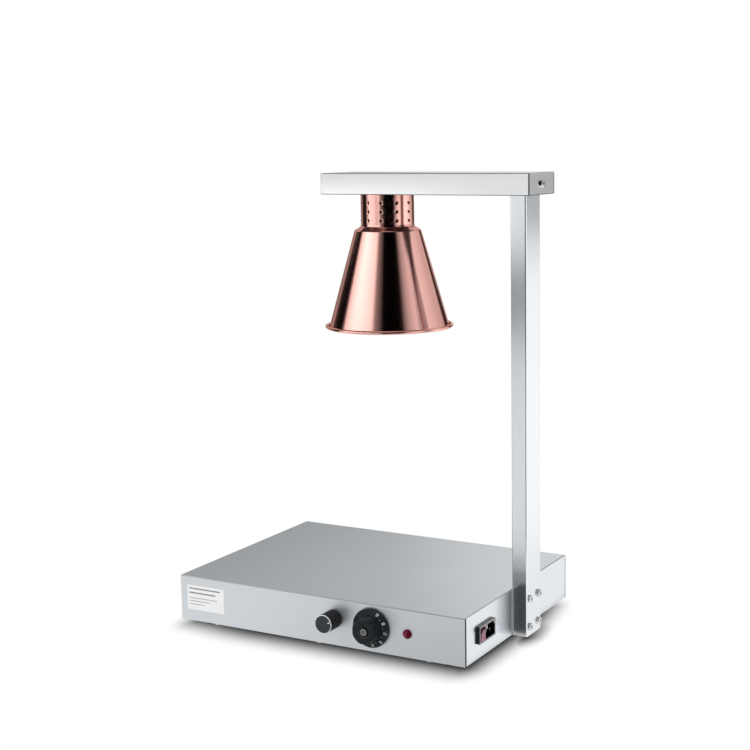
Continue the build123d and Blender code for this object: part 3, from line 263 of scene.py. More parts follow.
def brushed_steel(name, along, tints, rough, front_rough, on_ends=None, cover=None, edge_shade=False):
    """Steel with its grain along one way. A coarser front panel blurs what stands before it.
    A cover gets painted shade beside its front seams, and on request along its edges.
    """
    material, tree = new_tree(name)
    place = place_of(tree)
    fine = noise(tree, place, along)
    normal_x, normal_y, _ = axes(tree, tree.node("NewGeometry", output="Normal"))
    ends, front = abs(normal_x).step(*FACING), (-normal_y).step(*FACING)
    if on_ends:
        fine = fine + ends * (noise(tree, place, on_ends) - fine)
    cloud = noise(tree, place, (9, 9, 9), detail=3.0)
    steel = blend(tree, 0.55 * fine + 0.45 * cloud, colour(*tints[0]), colour(*tints[1]))
    sockets = {
        "Base Color": steel,
        "Roughness": rough + (front_rough - rough) * front + 0.05 * fine + 0.03 * cloud,
        "Metallic": 1.0,
        "Normal": bump(tree, fine, 0.02, 0.05 * MM),
    }
    # Painted shade: black on the end faces beside the front seams and, on request, a thin black line
    # along the bottom and the left end of the cover.
    if cover:
        dark = beside_seams(tree, place, ends, cover)
        if edge_shade:
            dark = dark.at_least(raw_edges(tree, place, cover))
        sockets["Base Color"] = blend(tree, dark, steel, colour(*RUBBER_AND_SHADE_BLACK))
        sockets["Roughness"] = sockets["Roughness"] + 0.35 * dark
        sockets["Metallic"] = 1 - dark
    close(tree, sockets)
    return material


base_steel = brushed_steel(
    "base_stainless", LENGTHWAYS, COOL, BASE_SATIN, BASE_FRONT, CROSSWAYS, "base_cover"
)
arm_steel = brushed_steel(
    "arm_stainless", LENGTHWAYS, PLAIN, SATIN, SATIN, CROSSWAYS, "arm_cover", edge_shade=True
)
post_steel = brushed_steel("post_stainless", UPRIGHT, MILD, SATIN, SATIN)
print("stainless finishes:", base_steel.name, arm_steel.name, post_steel.name)

# %% [markdown]
# ## Spun copper
# The neck and the shade are spun on a lathe and polished with fine rings left in. The rings blur
# a reflection up and down and keep it sharp from side to side, which is why the head shows clear
# upright bands. Cycles lays its tangent round the vertical axis of a piece, so a quarter turn of
# the anisotropy is all that is needed.

# %% Copper
def spun_copper(name):
    material, tree = new_tree(name)
    place = place_of(tree)
    rings = noise(tree, place, (5, 5, 2600))
    bands = noise(tree, place, (2, 2, 260))
    streaks = noise(tree, place, (4, 4, 850), detail=3.0)
    stain = noise(tree, place, (22, 22, 30), detail=4.0)
    warm, deep = colour(0.95, 0.54, 0.482), colour(0.88, 0.455, 0.4)
    sockets = {
        "Base Color": blend(tree, 0.3 * stain + 0.5 * streaks + 0.2 * bands, deep, warm),
        "Roughness": 0.1 + 0.09 * streaks + 0.03 * stain,
        "Metallic": 1.0,
        "Specular Tint": colour(0.96, 0.72, 0.64),
        "Anisotropic": 0.75,
        "Anisotropic Rotation": 0.25,
        "Normal": bump(tree, 0.7 * rings + 0.3 * bands, 0.08, 0.04 * MM),
    }
    close(tree, sockets)
    return material


copper = spun_copper("spun_copper")
print("copper finish:", copper.name)

# %% [markdown]
# ## Blacks: rubber, anodised knob and moulded plastic
# Four blacks sit side by side and must not look alike. The feet are dull rubber. The dimmer knob
# is black anodised aluminium with a spun face and a bright cut edge. The dial and the inlet are
# moulded plastic, one satin with a spark-eroded texture, the other glossy.

# %% Rubber
def rubber(name):
    material, tree = new_tree(name)
    place = place_of(tree)
    crumb = noise(tree, place, (900, 900, 900), detail=4.0)
    dust = noise(tree, place, (60, 60, 60), detail=3.0)
    black, dusty = colour(*RUBBER_AND_SHADE_BLACK), colour(0.045, 0.043, 0.04)
    sockets = {
        "Base Color": blend(tree, dust.step(0.45, 0.75), black, dusty),
        "Roughness": 0.62 + 0.25 * crumb,
        "Normal": bump(tree, crumb, 0.35, 0.1 * MM),
    }
    close(tree, sockets)
    return material


foot_rubber = rubber("foot_rubber")
print("rubber finish:", foot_rubber.name)

# %% Anodised knob
def knob_axis():
    low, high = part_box("dimmer_knob")
    return (low + high) / 2, low.y


def anodised_knob(name):
    material, tree = new_tree(name)
    centre, _ = knob_axis()
    place = place_of(tree)
    x, _, z = axes(tree, place)
    distance = length(x - centre.x, z - centre.z)
    _, facing, _ = axes(tree, tree.node("NewGeometry", output="Normal"))
    on_face = (-facing).step(0.9, 0.97)
    cut_edge = (-facing).step(0.5, 0.6) * (1 - on_face)
    line = tree.node("CombineXYZ", sockets={"X": distance})
    rings = noise(tree, line, (5000, 1, 1))
    grit = noise(tree, place, (1500, 1500, 1500))
    worn = noise(tree, place, (140, 140, 140), detail=3.0)
    black = blend(tree, worn.step(0.5, 0.8), colour(0.016, 0.017, 0.018), colour(0.04, 0.041, 0.043))
    face = blend(tree, on_face, black, colour(0.054, 0.064, 0.068))
    sockets = {
        "Base Color": blend(tree, cut_edge, face, colour(0.78, 0.79, 0.8)),
        "Metallic": 0.25 + 0.75 * on_face - 0.25 * cut_edge,
        "Roughness": 0.38 - 0.08 * on_face + 0.1 * grit,
        "Normal": bump(tree, on_face * rings + 0.3 * (1 - on_face) * grit, 0.3, 0.05 * MM),
    }
    close(tree, sockets)
    return material


knob_black = anodised_knob("anodised_knob")
print("knob finish:", knob_black.name)

# %% Moulded plastics
def moulded(name, base, lighter, rough, texture, coat=0.0):
    """Moulded plastic: a fine texture, a few handling marks and a skin that varies in gloss."""
    material, tree = new_tree(name)
    place = place_of(tree)
    spark = noise(tree, place, (texture, texture, texture), detail=3.0)
    handling = noise(tree, place, (70, 70, 70), detail=4.0)
    sockets = {
        "Base Color": blend(tree, handling.step(0.4, 0.8), colour(*base), colour(*lighter)),
        "Roughness": rough + 0.12 * handling,
        "Coat Weight": coat,
        "Coat Roughness": 0.08,
        "Normal": bump(tree, spark, 0.22, 0.05 * MM),
    }
    close(tree, sockets)
    return material


body_black = moulded("body_plastic", (0.02, 0.02, 0.022), (0.035, 0.035, 0.037), 0.45, 1800)
terminal_white = moulded("holder_ceramic", (0.78, 0.77, 0.73), (0.85, 0.84, 0.81), 0.2, 900, coat=0.3)
sleeve_red = moulded("wire_sleeve", (0.42, 0.06, 0.05), (0.5, 0.09, 0.07), 0.42, 1500)
jacket_white = moulded("cable_jacket", (0.68, 0.67, 0.64), (0.75, 0.74, 0.71), 0.5, 1300)
print("moulded finishes:", body_black.name, terminal_white.name, sleeve_red.name, jacket_white.name)

# %% Dial plastic
DISH_DEPTH = 3.4 * MM
# Painted sheen in the dish, laid as rings: an inner and an outer radius in millimetres, and a grey.
DISH_SHEEN_RINGS = [(0.0, 1.2, 0.12), (1.9, 4.3, 0.2), (6.2, 7.6, 0.06)]


def dial_plastic(name):
    """Satin black with a spark-eroded skin, and paler rings of painted sheen in the dish of the grip.
    """
    material, tree = new_tree(name)
    low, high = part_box("thermostat_dial")
    centre = (low + high) / 2
    place = place_of(tree)
    x, y, z = axes(tree, place)
    distance = length(x - centre.x, z - centre.z)
    near_front = (low.y + DISH_DEPTH - y).step(0.0, 0.2 * MM)
    spark = noise(tree, place, (2200, 2200, 2200), detail=3.0)
    handling = noise(tree, place, (70, 70, 70), detail=4.0)
    black, wear_and_reflection = colour(0.01, 0.0135, 0.0155), colour(0.02, 0.027, 0.031)
    skin = blend(tree, handling.step(0.4, 0.8), black, wear_and_reflection)
    # Painted sheen: paler rings laid over the skin at the front of the dish.
    for inner, outer, level in DISH_SHEEN_RINGS:
        beyond = abs(distance / MM - (inner + outer) / 2) - (outer - inner) / 2
        on_sheen_ring = near_front * (1 - beyond.step(-0.2, 0.2))
        skin = blend(tree, on_sheen_ring, skin, colour(level, level, level))
    sockets = {
        "Base Color": skin,
        "Roughness": 0.36 + 0.12 * handling,
        "Specular IOR Level": 0.17,
        "Normal": bump(tree, spark, 0.22, 0.05 * MM),
    }
    close(tree, sockets)
    return material


dial_black = dial_plastic("dial_plastic")
print("dial finish:", dial_black.name)

# %% Inlet plastic
def inlet_plastic(name):
    """Black, with a painted reflection that makes the outer face of the flange and its top paler."""
    material, tree = new_tree(name)
    _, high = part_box("inlet_housing")
    place = place_of(tree)
    x, _, z = axes(tree, place)
    normal_x, _, normal_z = axes(tree, tree.node("NewGeometry", output="Normal"))
    face = normal_x.step(*FACING) * x.step(high.x - 1.2 * MM, high.x - 0.8 * MM)
    top = normal_z.step(*FACING) * z.step(high.z - 0.8 * MM, high.z - 0.4 * MM)
    # Painted reflection: pale grey on the outer face of the flange and, at half strength, on its top.
    wear_and_reflection = face.at_least(0.5 * top)
    grain = noise(tree, place, (1500, 1500, 1500), detail=3.0)
    sockets = {
        "Base Color": blend(tree, wear_and_reflection, colour(0.008, 0.008, 0.009), colour(0.46, 0.46, 0.47)),
        "Roughness": 0.14 + 0.22 * wear_and_reflection + 0.08 * grain,
        "Specular IOR Level": 0.15,
        "Normal": bump(tree, grain, 0.1, 0.05 * MM),
    }
    close(tree, sockets)
    return material


inlet_black = inlet_plastic("inlet_plastic")
print("inlet finish:", inlet_black.name)

# %% [markdown]
# ## Ruby lens and rocker
# The pilot lens and the rocker are clear red plastic over a dark hollow, so they read as deep
# ruby with paler glints on their facets. Full transmission would need the hollow behind them in
# detail; a dark red with a glossy coat, a facet pattern and painted glints looks the same from
# outside. The glints are a painted highlight on the left half of the lens and a painted reflection
# of the floor on the lower half of the rocker.

# %% Ruby
def left_of_lens(tree, place):
    """1 on the left half of the pilot lens, which gets a painted highlight, 0 on its right half and
    in its rim.
    """
    low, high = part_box("pilot_lens")
    centre, radius = (low + high) / 2, (high.x - low.x) / 2
    x, _, z = axes(tree, place)
    across, up = (x - centre.x) / radius, (z - centre.z) / radius
    distance = length(across, up)
    return (1 - distance.step(0.6, 0.85)) * (-across).step(-0.35, 0.45)


def foot_of_rocker(tree, place):
    """1 on the lower half of the rocker, which faces the pale floor and gets a painted reflection of
    it.
    """
    low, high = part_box("rocker")
    _, _, z = axes(tree, place)
    middle = (low.z + high.z) / 2
    return 1 - z.step(middle - 2 * MM, middle + 4 * MM)


def ruby(name, deep, pale, painted_light_part, facets, gloss):
    material, tree = new_tree(name)
    place = place_of(tree)
    cells = tree.node("TexVoronoi", {"feature": "F1"}, {"Vector": place, "Scale": facets})
    streak = noise(tree, place, (300, 300, 300))
    # Painted light: a painted highlight on the lens, a painted reflection on the rocker, broken up by
    # streaks.
    glow = painted_light_part(tree, place) * (0.45 + 0.55 * streak.step(0.35, 0.65))
    sockets = {
        "Base Color": blend(tree, glow, colour(*deep), colour(*pale)),
        "Roughness": 0.14 + 0.1 * streak,
        "Specular IOR Level": gloss,
        "Coat Weight": gloss,
        "Coat Roughness": 0.05,
        "Normal": bump(tree, cells, 0.25, 0.1 * MM),
    }
    close(tree, sockets)
    return material


pilot_ruby = ruby("pilot_ruby", (0.1, 0.001, 0.016), (0.3, 0.05, 0.11), left_of_lens, 420, 0.1)
rocker_ruby = ruby("rocker_ruby", (0.09, 0.001, 0.016), (0.62, 0.17, 0.29), foot_of_rocker, 160, 0.25)
print("ruby finishes:", pilot_ruby.name, rocker_ruby.name)

# %% [markdown]
# ## Small metals
# Screws, nuts and contacts are turned or stamped, then plated. One function makes them all: a
# metal with fine turning marks, a little tarnish in its colour and its own roughness.

# %% Small metals
def plain_metal(name, tint, rough, marks):
    material, tree = new_tree(name)
    place = place_of(tree)
    turning = noise(tree, place, (marks, marks, marks), detail=3.0)
    tarnish = noise(tree, place, (45, 45, 45), detail=4.0)
    dull = colour(*[0.78 * part for part in tint])
    sockets = {
        "Base Color": blend(tree, tarnish.step(0.3, 0.7), dull, colour(*tint)),
        "Roughness": rough + 0.12 * turning,
        "Metallic": 1.0,
        "Normal": bump(tree, turning, 0.15, 0.04 * MM),
    }
    close(tree, sockets)
    return material


screw_steel = plain_metal("polished_screws", (0.74, 0.745, 0.755), 0.12, 1600)
zinc = plain_metal("zinc_plate", (0.6, 0.61, 0.6), 0.3, 900)
sheet_steel = plain_metal("satin_sheet", (0.56, 0.57, 0.58), 0.34, 1200)
contact_metal = plain_metal("nickel_contacts", (0.72, 0.69, 0.62), 0.2, 1400)
aluminium = plain_metal("bare_aluminium", (0.78, 0.785, 0.79), 0.36, 1000)
capillary = plain_metal("capillary_copper", (0.85, 0.5, 0.4), 0.28, 1300)
print("metals:", screw_steel.name, zinc.name, sheet_steel.name, contact_metal.name)

# %% [markdown]
# ## Heater, board and bulb
# These pieces sit inside the box or up in the shade. The mica sheet and the wool blanket get
# their mottle and fibres, the board its solder mask, and the bulb a frosted face below a silvered
# back, as reflector lamps have.

# %% Inner finishes
def speckled(name, base, second, cycles, rough):
    material, tree = new_tree(name)
    place = place_of(tree)
    mottle = noise(tree, place, cycles, detail=5.0)
    sockets = {
        "Base Color": blend(tree, mottle.step(0.35, 0.65), colour(*base), colour(*second)),
        "Roughness": rough + 0.15 * mottle,
        "Normal": bump(tree, mottle, 0.4, 0.2 * MM),
    }
    close(tree, sockets)
    return material


def reflector_bulb(name):
    material, tree = new_tree(name)
    low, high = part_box("bulb_glass")
    place = place_of(tree)
    _, _, z = axes(tree, place)
    widest = low.z + 0.26 * (high.z - low.z)
    silver = z.step(widest, widest + 2 * MM)
    frost = noise(tree, place, (1400, 1400, 1400))
    sockets = {
        "Base Color": blend(tree, silver, colour(0.83, 0.82, 0.79), colour(0.86, 0.86, 0.85)),
        "Metallic": silver,
        "Roughness": 0.42 - 0.3 * silver + 0.1 * frost,
        "Coat Weight": 0.5,
        "Coat Roughness": 0.06,
        "Normal": bump(tree, (1 - silver) * frost, 0.15, 0.05 * MM),
    }
    close(tree, sockets)
    return material


mica = speckled("mica_sheet", (0.42, 0.36, 0.25), (0.55, 0.48, 0.34), (120, 120, 120), 0.4)
wool = speckled("mineral_wool", (0.48, 0.44, 0.35), (0.62, 0.58, 0.48), (400, 160, 400), 0.8)
board = speckled("board_green", (0.012, 0.10, 0.04), (0.02, 0.16, 0.06), (500, 500, 500), 0.3)
bulb = reflector_bulb("reflector_bulb")
print("inner finishes:", mica.name, wool.name, board.name, bulb.name)

# %% [markdown]
# ## Dressing the CAD nodes
# The record names a material slot for each node. A finish is assigned to the node's own slot, so
# the mesh itself is never touched. The post and the arm get their own steel, because their grain
# runs another way than the grain of the box.

# %% Assign finishes
FINISHES = {
    "stainless": base_steel,
    "plain_steel": sheet_steel,
    "bright_screws": screw_steel,
    "zinc_fasteners": zinc,
    "copper": copper,
    "black_rubber": foot_rubber,
    "knob_black": knob_black,
    "dial_black": dial_black,
    "ruby_lens": pilot_ruby,
    "black_plastic": body_black,
    "inlet_black": inlet_black,
    "contact_metal": contact_metal,
    "rocker_red": rocker_ruby,
    "board_green": board,
    "bare_aluminium": aluminium,
    "mica": mica,
    "mineral_wool": wool,
    "white_ceramic": terminal_white,
    "wire_sleeve": sleeve_red,
    "cable_jacket": jacket_white,
    "capillary_copper": capillary,
    "bulb_glass": bulb,
}
OWN_GRAIN = {"post_tube": post_steel, "arm_cover": arm_steel, "arm_tray": arm_steel}
SLOT_OF = {part["node"]: part["material_slot"] for part in frame["record"]["subparts"]}
for name, node in frame["nodes"].items():
    finish = OWN_GRAIN.get(name, FINISHES[SLOT_OF[name]])
    for index in range(len(node.material_slots)):
        node.material_slots[index].material = finish
print("finishes on", len(SLOT_OF), "nodes")

# %% [markdown]
# ## Printing on the dial
# White numbers stand on the sloped skirt of the thermostat dial, reading outwards, with a dot
# half way between two of them. Text objects give clean outlines; each becomes a thin mesh that
# lies on the slope and turns with the dial.

# %% Dial printing
def print_white(name):
    material, tree = new_tree(name)
    wear = noise(tree, place_of(tree), (900, 900, 900), detail=3.0)
    worn, fresh = colour(0.78, 0.78, 0.77), colour(0.88, 0.88, 0.87)
    sockets = {
        "Base Color": blend(tree, wear.step(0.3, 0.6), worn, fresh),
        "Roughness": 0.5 + 0.1 * wear,
    }
    close(tree, sockets)
    return material


def add_mesh(name, mesh, material, body):
    piece = bpy.data.objects.new(name, mesh)
    bpy.context.scene.collection.objects.link(piece)
    mesh.materials.clear()
    mesh.materials.append(material)
    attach(piece, body)


def text_mesh(name, words, size, thickness):
    curve = bpy.data.curves.new(name, "FONT")
    curve.body, curve.size, curve.extrude = words, size, thickness / 2
    curve.align_x, curve.align_y = "CENTER", "CENTER"
    holder = bpy.data.objects.new(name, curve)
    mesh = bpy.data.meshes.new_from_object(holder)
    bpy.data.objects.remove(holder)
    bpy.data.curves.remove(curve)
    mesh.name = name
    return mesh


def dot_mesh(name, radius, thickness):
    """A round dot whose side leans in a little."""
    form = bmesh.new()
    radii = {"radius1": radius, "radius2": DOT_TAPER * radius}
    bmesh.ops.create_cone(form, cap_ends=True, segments=DOT_SIDES, depth=thickness, **radii)
    mesh = bpy.data.meshes.new(name)
    form.to_mesh(mesh)
    form.free()
    return mesh


PRINT = print_white("dial_print")
PRINT_THICKNESS = 0.06 * MM
SKIRT_EDGE = 2.2 * MM
SKIRT_RISE = 1.8 * MM
GRIP_RADIUS = 17.0 * MM
NUMBER_SIZE = 4.4 * MM
NUMBER_STEP = 34.8
FIRST_NUMBER_ANGLE = 59.0
DOT_RADIUS = 0.42 * MM
DOT_SIDES, DOT_TAPER = 20, 0.8
NUMBER_SHARE, DOT_SHARE = 0.5, 0.14
NUMBERS = [90, 80, 70, 60, 50, 40, 30, 20]

dial_low, dial_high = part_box("thermostat_dial")
dial_centre = (dial_low + dial_high) / 2
dial_radius = (dial_high.x - dial_low.x) / 2
skirt_slope = math.atan2(SKIRT_RISE, dial_radius - GRIP_RADIUS)


def on_skirt(angle, share):
    """A frame on the skirt at an angle from the right. Share 0 is at the grip and 1 at the rim."""
    turn = math.radians(angle)
    outward = Vector((math.cos(turn), 0, math.sin(turn)))
    baseline = outward * math.cos(skirt_slope) + Vector((0, math.sin(skirt_slope), 0))
    upward = Vector((-math.sin(turn), 0, math.cos(turn)))
    facing = baseline.cross(upward)
    radius = GRIP_RADIUS + share * (dial_radius - GRIP_RADIUS)
    depth = dial_high.y - SKIRT_EDGE - (1 - share) * SKIRT_RISE
    point = Vector((dial_centre.x, depth, dial_centre.z))
    point += outward * radius + facing * PRINT_THICKNESS / 2
    return Matrix.Translation(point) @ Matrix((baseline, upward, facing)).transposed().to_4x4()


for index, number in enumerate(NUMBERS):
    angle = FIRST_NUMBER_ANGLE - index * NUMBER_STEP
    mesh = text_mesh(f"dial_number_{number}", str(number), NUMBER_SIZE, PRINT_THICKNESS)
    mesh.transform(on_skirt(angle, NUMBER_SHARE))
    add_mesh(f"dial_number_{number}", mesh, PRINT, "thermostat_control")
    mesh = dot_mesh(f"dial_dot_{number}", DOT_RADIUS, PRINT_THICKNESS)
    mesh.transform(on_skirt(angle - NUMBER_STEP / 2, DOT_SHARE))
    add_mesh(f"dial_dot_{number}", mesh, PRINT, "thermostat_control")
print("dial numbers:", NUMBERS)

# %% [markdown]
# ## Pointer on the dimmer knob
# The knob has a milled groove near the edge of its face, filled with light paint. The paint is a
# thin block with rounded ends that lies in the groove a hair below the face.

# %% Knob pointer
POINTER_ANGLE = math.radians(20.0)
POINTER_START = 6.4 * MM
POINTER_END = 9.8 * MM
POINTER_WIDTH = 1.3 * MM
POINTER_DEPTH = 0.36 * MM
POINTER_SINK = 0.06 * MM
POINTER_CORNER, POINTER_EDGE = 0.3 * MM, 0.08 * MM
CORNER_STEPS = 8
FRONT = Vector((0, -1, 0))


def rounded_plate(name, width, height, corner, thickness, edge):
    """A plate in the XY plane from Z 0 up, with round corners and a softened upper edge."""
    form = bmesh.new()
    ring = []
    for sx, sy, start in ((1, 1, 0), (-1, 1, 90), (-1, -1, 180), (1, -1, 270)):
        for step in range(CORNER_STEPS + 1):
            turn = math.radians(start + 90 * step / CORNER_STEPS)
            x = sx * (width / 2 - corner) + corner * math.cos(turn)
            y = sy * (height / 2 - corner) + corner * math.sin(turn)
            ring.append((x, y))
    shrink_x, shrink_y = 1 - 2 * edge / width, 1 - 2 * edge / height
    levels = [(1, 1, 0), (1, 1, thickness - edge), (shrink_x, shrink_y, thickness)]
    loops = [[form.verts.new((x * kx, y * ky, z)) for x, y in ring] for kx, ky, z in levels]
    count = len(ring)
    for lower, upper in zip(loops, loops[1:]):
        for i in range(count):
            j = (i + 1) % count
            form.faces.new((lower[i], lower[j], upper[j], upper[i]))
    form.faces.new(loops[-1])
    form.faces.new(loops[0][::-1])
    mesh = bpy.data.meshes.new(name)
    form.to_mesh(mesh)
    form.free()
    return mesh


def face_frame(out, point, turn=0.0):
    """A frame on an upright face: Y up and Z out of the face, then turned in that face."""
    up = Vector((0, 0, 1))
    upright = Matrix((up.cross(out), up, out)).transposed().to_4x4()
    return Matrix.Translation(point) @ upright @ Matrix.Rotation(turn, 4, "Z")


knob_centre, knob_front = knob_axis()
pointer_length = POINTER_END - POINTER_START
pointer_thickness = POINTER_DEPTH - POINTER_SINK
pointer = rounded_plate(
    "knob_pointer", pointer_length, POINTER_WIDTH, POINTER_CORNER, pointer_thickness, POINTER_EDGE
)
middle = Matrix.Translation(((POINTER_START + POINTER_END) / 2, 0, 0))
groove_floor = Vector((knob_centre.x, knob_front + POINTER_DEPTH, knob_centre.z))
pointer.transform(face_frame(FRONT, groove_floor, POINTER_ANGLE) @ middle)
add_mesh("knob_pointer", pointer, PRINT, "dimmer_control")
print("pointer of", round(pointer_length / MM, 1), "mm")

# %% [markdown]
# ## The label
# A white film label sits near the left end of the front. It carries only ruled fields, drawn in
# its material by comparing the height on the label with the height of each line.

# %% Label
LABEL_LEFT = 10.0 * MM
LABEL_BOTTOM = 14.0 * MM
LABEL_WIDTH = 55.5 * MM
LABEL_HEIGHT = 31.5 * MM
LABEL_THICKNESS = 0.2 * MM
LABEL_CORNER, LABEL_EDGE = 1.0 * MM, 0.05 * MM
INK_STRENGTH = 0.75
# Each ruled line in millimetres: its left end, its right end, its distance from the top, its weight.
RULED_LINES = [
    (2.6, 50.0, 4.0, 1.8), (2.6, 43.0, 9.6, 1.8),
    (2.6, 45.0, 16.2, 0.8), (2.6, 33.5, 20.2, 0.8), (2.6, 25.0, 24.2, 0.8),
]

cover_low, cover_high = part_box("base_cover")
label_middle = cover_low + Vector((LABEL_LEFT + LABEL_WIDTH / 2, 0, LABEL_BOTTOM + LABEL_HEIGHT / 2))


def label_film(name):
    material, tree = new_tree(name)
    place = place_of(tree)
    x, _, z = axes(tree, place)
    across = (x - label_middle.x) / MM + LABEL_WIDTH / MM / 2
    down = (label_middle.z - z) / MM + LABEL_HEIGHT / MM / 2
    ink = 0.0
    for left, right, level, weight in RULED_LINES:
        beyond_ends = abs(across - (left + right) / 2) - (right - left) / 2
        beyond_edges = abs(down - level) - weight / 2
        ink = 1 - beyond_ends.at_least(beyond_edges).step(-0.1, 0.1) * (1 - ink)
    paper = noise(tree, place, (600, 600, 600), detail=3.0)
    white = blend(tree, paper, colour(0.93, 0.935, 0.935), colour(0.97, 0.972, 0.972))
    sockets = {
        "Base Color": blend(tree, INK_STRENGTH * ink, white, colour(0.03, 0.03, 0.032)),
        "Roughness": 0.32 + 0.1 * paper,
        "Normal": bump(tree, paper, 0.05, 0.03 * MM),
    }
    close(tree, sockets)
    return material


label = rounded_plate(
    "front_label", LABEL_WIDTH, LABEL_HEIGHT, LABEL_CORNER, LABEL_THICKNESS, LABEL_EDGE
)
label.transform(face_frame(FRONT, label_middle))
add_mesh("front_label", label, label_film("label_film"), "stand")
print("label at", [round(part, 4) for part in label_middle])

# %% [markdown]
# ## Painted shade in the corner seams
# The sheets of the box and of the arm meet at their upright corners in an open seam, which reads
# as a black line at the front, where the seam lies in shade. A black bead lies in each front seam,
# a hair below the steel, as painted shade, and the rear seams are filled with solder. Without them
# the bright sheet behind the gaps would show through.

# %% Seams
SEAM_WIDTH = 2.4 * MM
SHEET = 1.0 * MM
BEND = 1.6 * MM
BEAD_SINK = 0.3 * MM
BEAD_DEPTH = 0.55 * MM
BEAD_ROOM = 0.1 * MM
BEAD_CORNER, BEAD_EDGE = 0.4 * MM, 0.15 * MM
bead_width = SEAM_WIDTH - 2 * BEAD_ROOM
seam_bead_shade = rubber("painted_seam_shade")
for name in ("base_cover", "arm_cover"):
    low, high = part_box(name)
    middle, half = (low + high) / 2, (high - low) / 2
    bead_height = high.z - BEND - low.z - 2 * BEAD_ROOM
    for end, end_word in ((-1, "left"), (1, "right")):
        for side, side_word in ((-1, "front"), (1, "rear")):
            bead_name = f"{name}_bead_{end_word}_{side_word}"
            bead = rounded_plate(
                bead_name, bead_width, bead_height, BEAD_CORNER, BEAD_DEPTH, BEAD_EDGE
            )
            out = Vector((end, 0, 0))
            seat = middle + out * (half.x - BEAD_SINK - BEAD_DEPTH)
            seat.y += side * (half.y - SHEET - SEAM_WIDTH / 2)
            seat.z = low.z + BEAD_ROOM + bead_height / 2
            bead.transform(face_frame(out, seat))
            # Front beads are black as painted shade in the open seam; rear beads are steel.
            add_mesh(bead_name, bead, seam_bead_shade if side < 0 else sheet_steel, "stand")
print("sealant beads of", round(bead_height / MM, 1), "mm in the arm")

# %% [markdown]
# ## Floor and room
# The stand is on white paper, in a white room, with a narrow soft shadow round its foot. A shadow
# from the lamps alone would be wide and pale. So the floor draws its own: dark under the box and the
# post, and white a few centimetres away. In the metal it shows a tone for each side of the box, as
# paper does that is lit more on one side than on the other.

# %% Floor and room
FLOOR_SIDE = 30.0
FLOOR_DROP = 0.2 * MM
# Where a shadow starts to fade and where it ends, counted outwards from the edge of its piece.
SHADOW_BEFORE = (-24 * MM, 44 * MM)
SHADOW_BESIDE = (-13 * MM, 31 * MM)
SHADOW_OF_POST = (-13 * MM, 20 * MM)
# The shadow of the box thins behind it, from BACK_START on, and at its left end, over LEFT_REACH.
THIN_BACK, BACK_START = 0.3, 0.06
THIN_LEFT, LEFT_REACH = 0.13, 0.1
# In this range of y, the shadows of the box and of the post begin to deepen each other.
SHADOWS_ADD = (0.0, 0.05)
# How much of the shadow the metal does not show.
MIRROR_FADE = 0.6
# Tones of the floor in the metal, and the distances over which they change.
LEFT_TONE, FRONT_TONE, FAR_FRONT_TONE = 0.92, 0.6, 0.9
RIGHT_TONE, FAR_RIGHT_TONE = 1.05, 1.22
FAR_FRONT = (-0.5, -0.3)
RIGHT_START, FAR_RIGHT = (0.0, 0.02), (0.1, 0.3)
AMBIENT = 0.4
PALE, DARK = 0.9, 0.12


def grey(level):
    return colour(level, level, level)


def ray_kinds(tree):
    """1 for rays from the camera, then 1 for rays from a reflection or a clear piece."""
    path = tree.node("LightPath", output="Is Camera Ray")
    return path, path.out("Is Glossy Ray").at_least(path.out("Is Transmission Ray"))


def shadow_distance(x, y, name, beside):
    """0 under a piece, and 1 where its shadow ends on the floor."""
    low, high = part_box(name)
    middle, half = (low + high) / 2, (high - low) / 2
    shares = []
    for along, centre, reach, (start, end) in (
        (x, middle.x, half.x, beside), (y, middle.y, half.y, SHADOW_BEFORE)
    ):
        shares.append(((abs(along - centre) - reach - start) / (end - start)).at_least(0.0))
    return length(*shares)


def floor_tone(tree, x, y):
    """What the metal shows of the floor."""
    beyond = x - cover_high.x
    front = blend(tree, x.step(cover_low.x, cover_high.x), grey(LEFT_TONE), grey(FRONT_TONE))
    front = blend(tree, y.step(*FAR_FRONT), grey(FAR_FRONT_TONE), front)
    right = blend(tree, beyond.step(*FAR_RIGHT), grey(RIGHT_TONE), grey(FAR_RIGHT_TONE))
    return blend(tree, beyond.step(*RIGHT_START), front, right)


def floor_paper(name):
    """White where it is seen, apart from the shadow of the box and of the post."""
    material, tree = new_tree(name)
    x, y, _ = axes(tree, place_of(tree))
    direct, mirrored = ray_kinds(tree)
    seen = direct.at_least(mirrored)
    at_left = 1 - x.step(cover_low.x, cover_low.x + LEFT_REACH)
    thinner = THIN_BACK * y.step(BACK_START, cover_high.y) + THIN_LEFT * at_left
    from_base = (shadow_distance(x, y, "base_cover", SHADOW_BESIDE) + thinner).at_most(1.0)
    from_post = shadow_distance(x, y, "post_tube", SHADOW_OF_POST).at_most(1.0)
    nearer = from_base.at_most(from_post)
    away = nearer + y.step(*SHADOWS_ADD) * (from_base * from_post - nearer)
    tone = blend(tree, mirrored, grey(1.0), floor_tone(tree, x, y))
    glow = tree.node("Emission", sockets={"Color": tone})
    pale = tree.node("BsdfDiffuse", sockets={"Color": grey(PALE)})
    dark = tree.node("BsdfDiffuse", sockets={"Color": grey(DARK)})
    paper = tree.node("MixShader", sockets={0: seen, 1: pale, 2: dark})
    shown = seen * (away + MIRROR_FADE * mirrored).step(0.0, 1.0)
    lit = tree.node("MixShader", sockets={0: shown, 1: paper, 2: glow})
    tree.node("OutputMaterial", sockets={"Surface": lit})
    return material


def floor_mesh(name, side):
    form = bmesh.new()
    bmesh.ops.create_grid(form, x_segments=1, y_segments=1, size=side / 2)
    mesh = bpy.data.meshes.new(name)
    form.to_mesh(mesh)
    form.free()
    return mesh


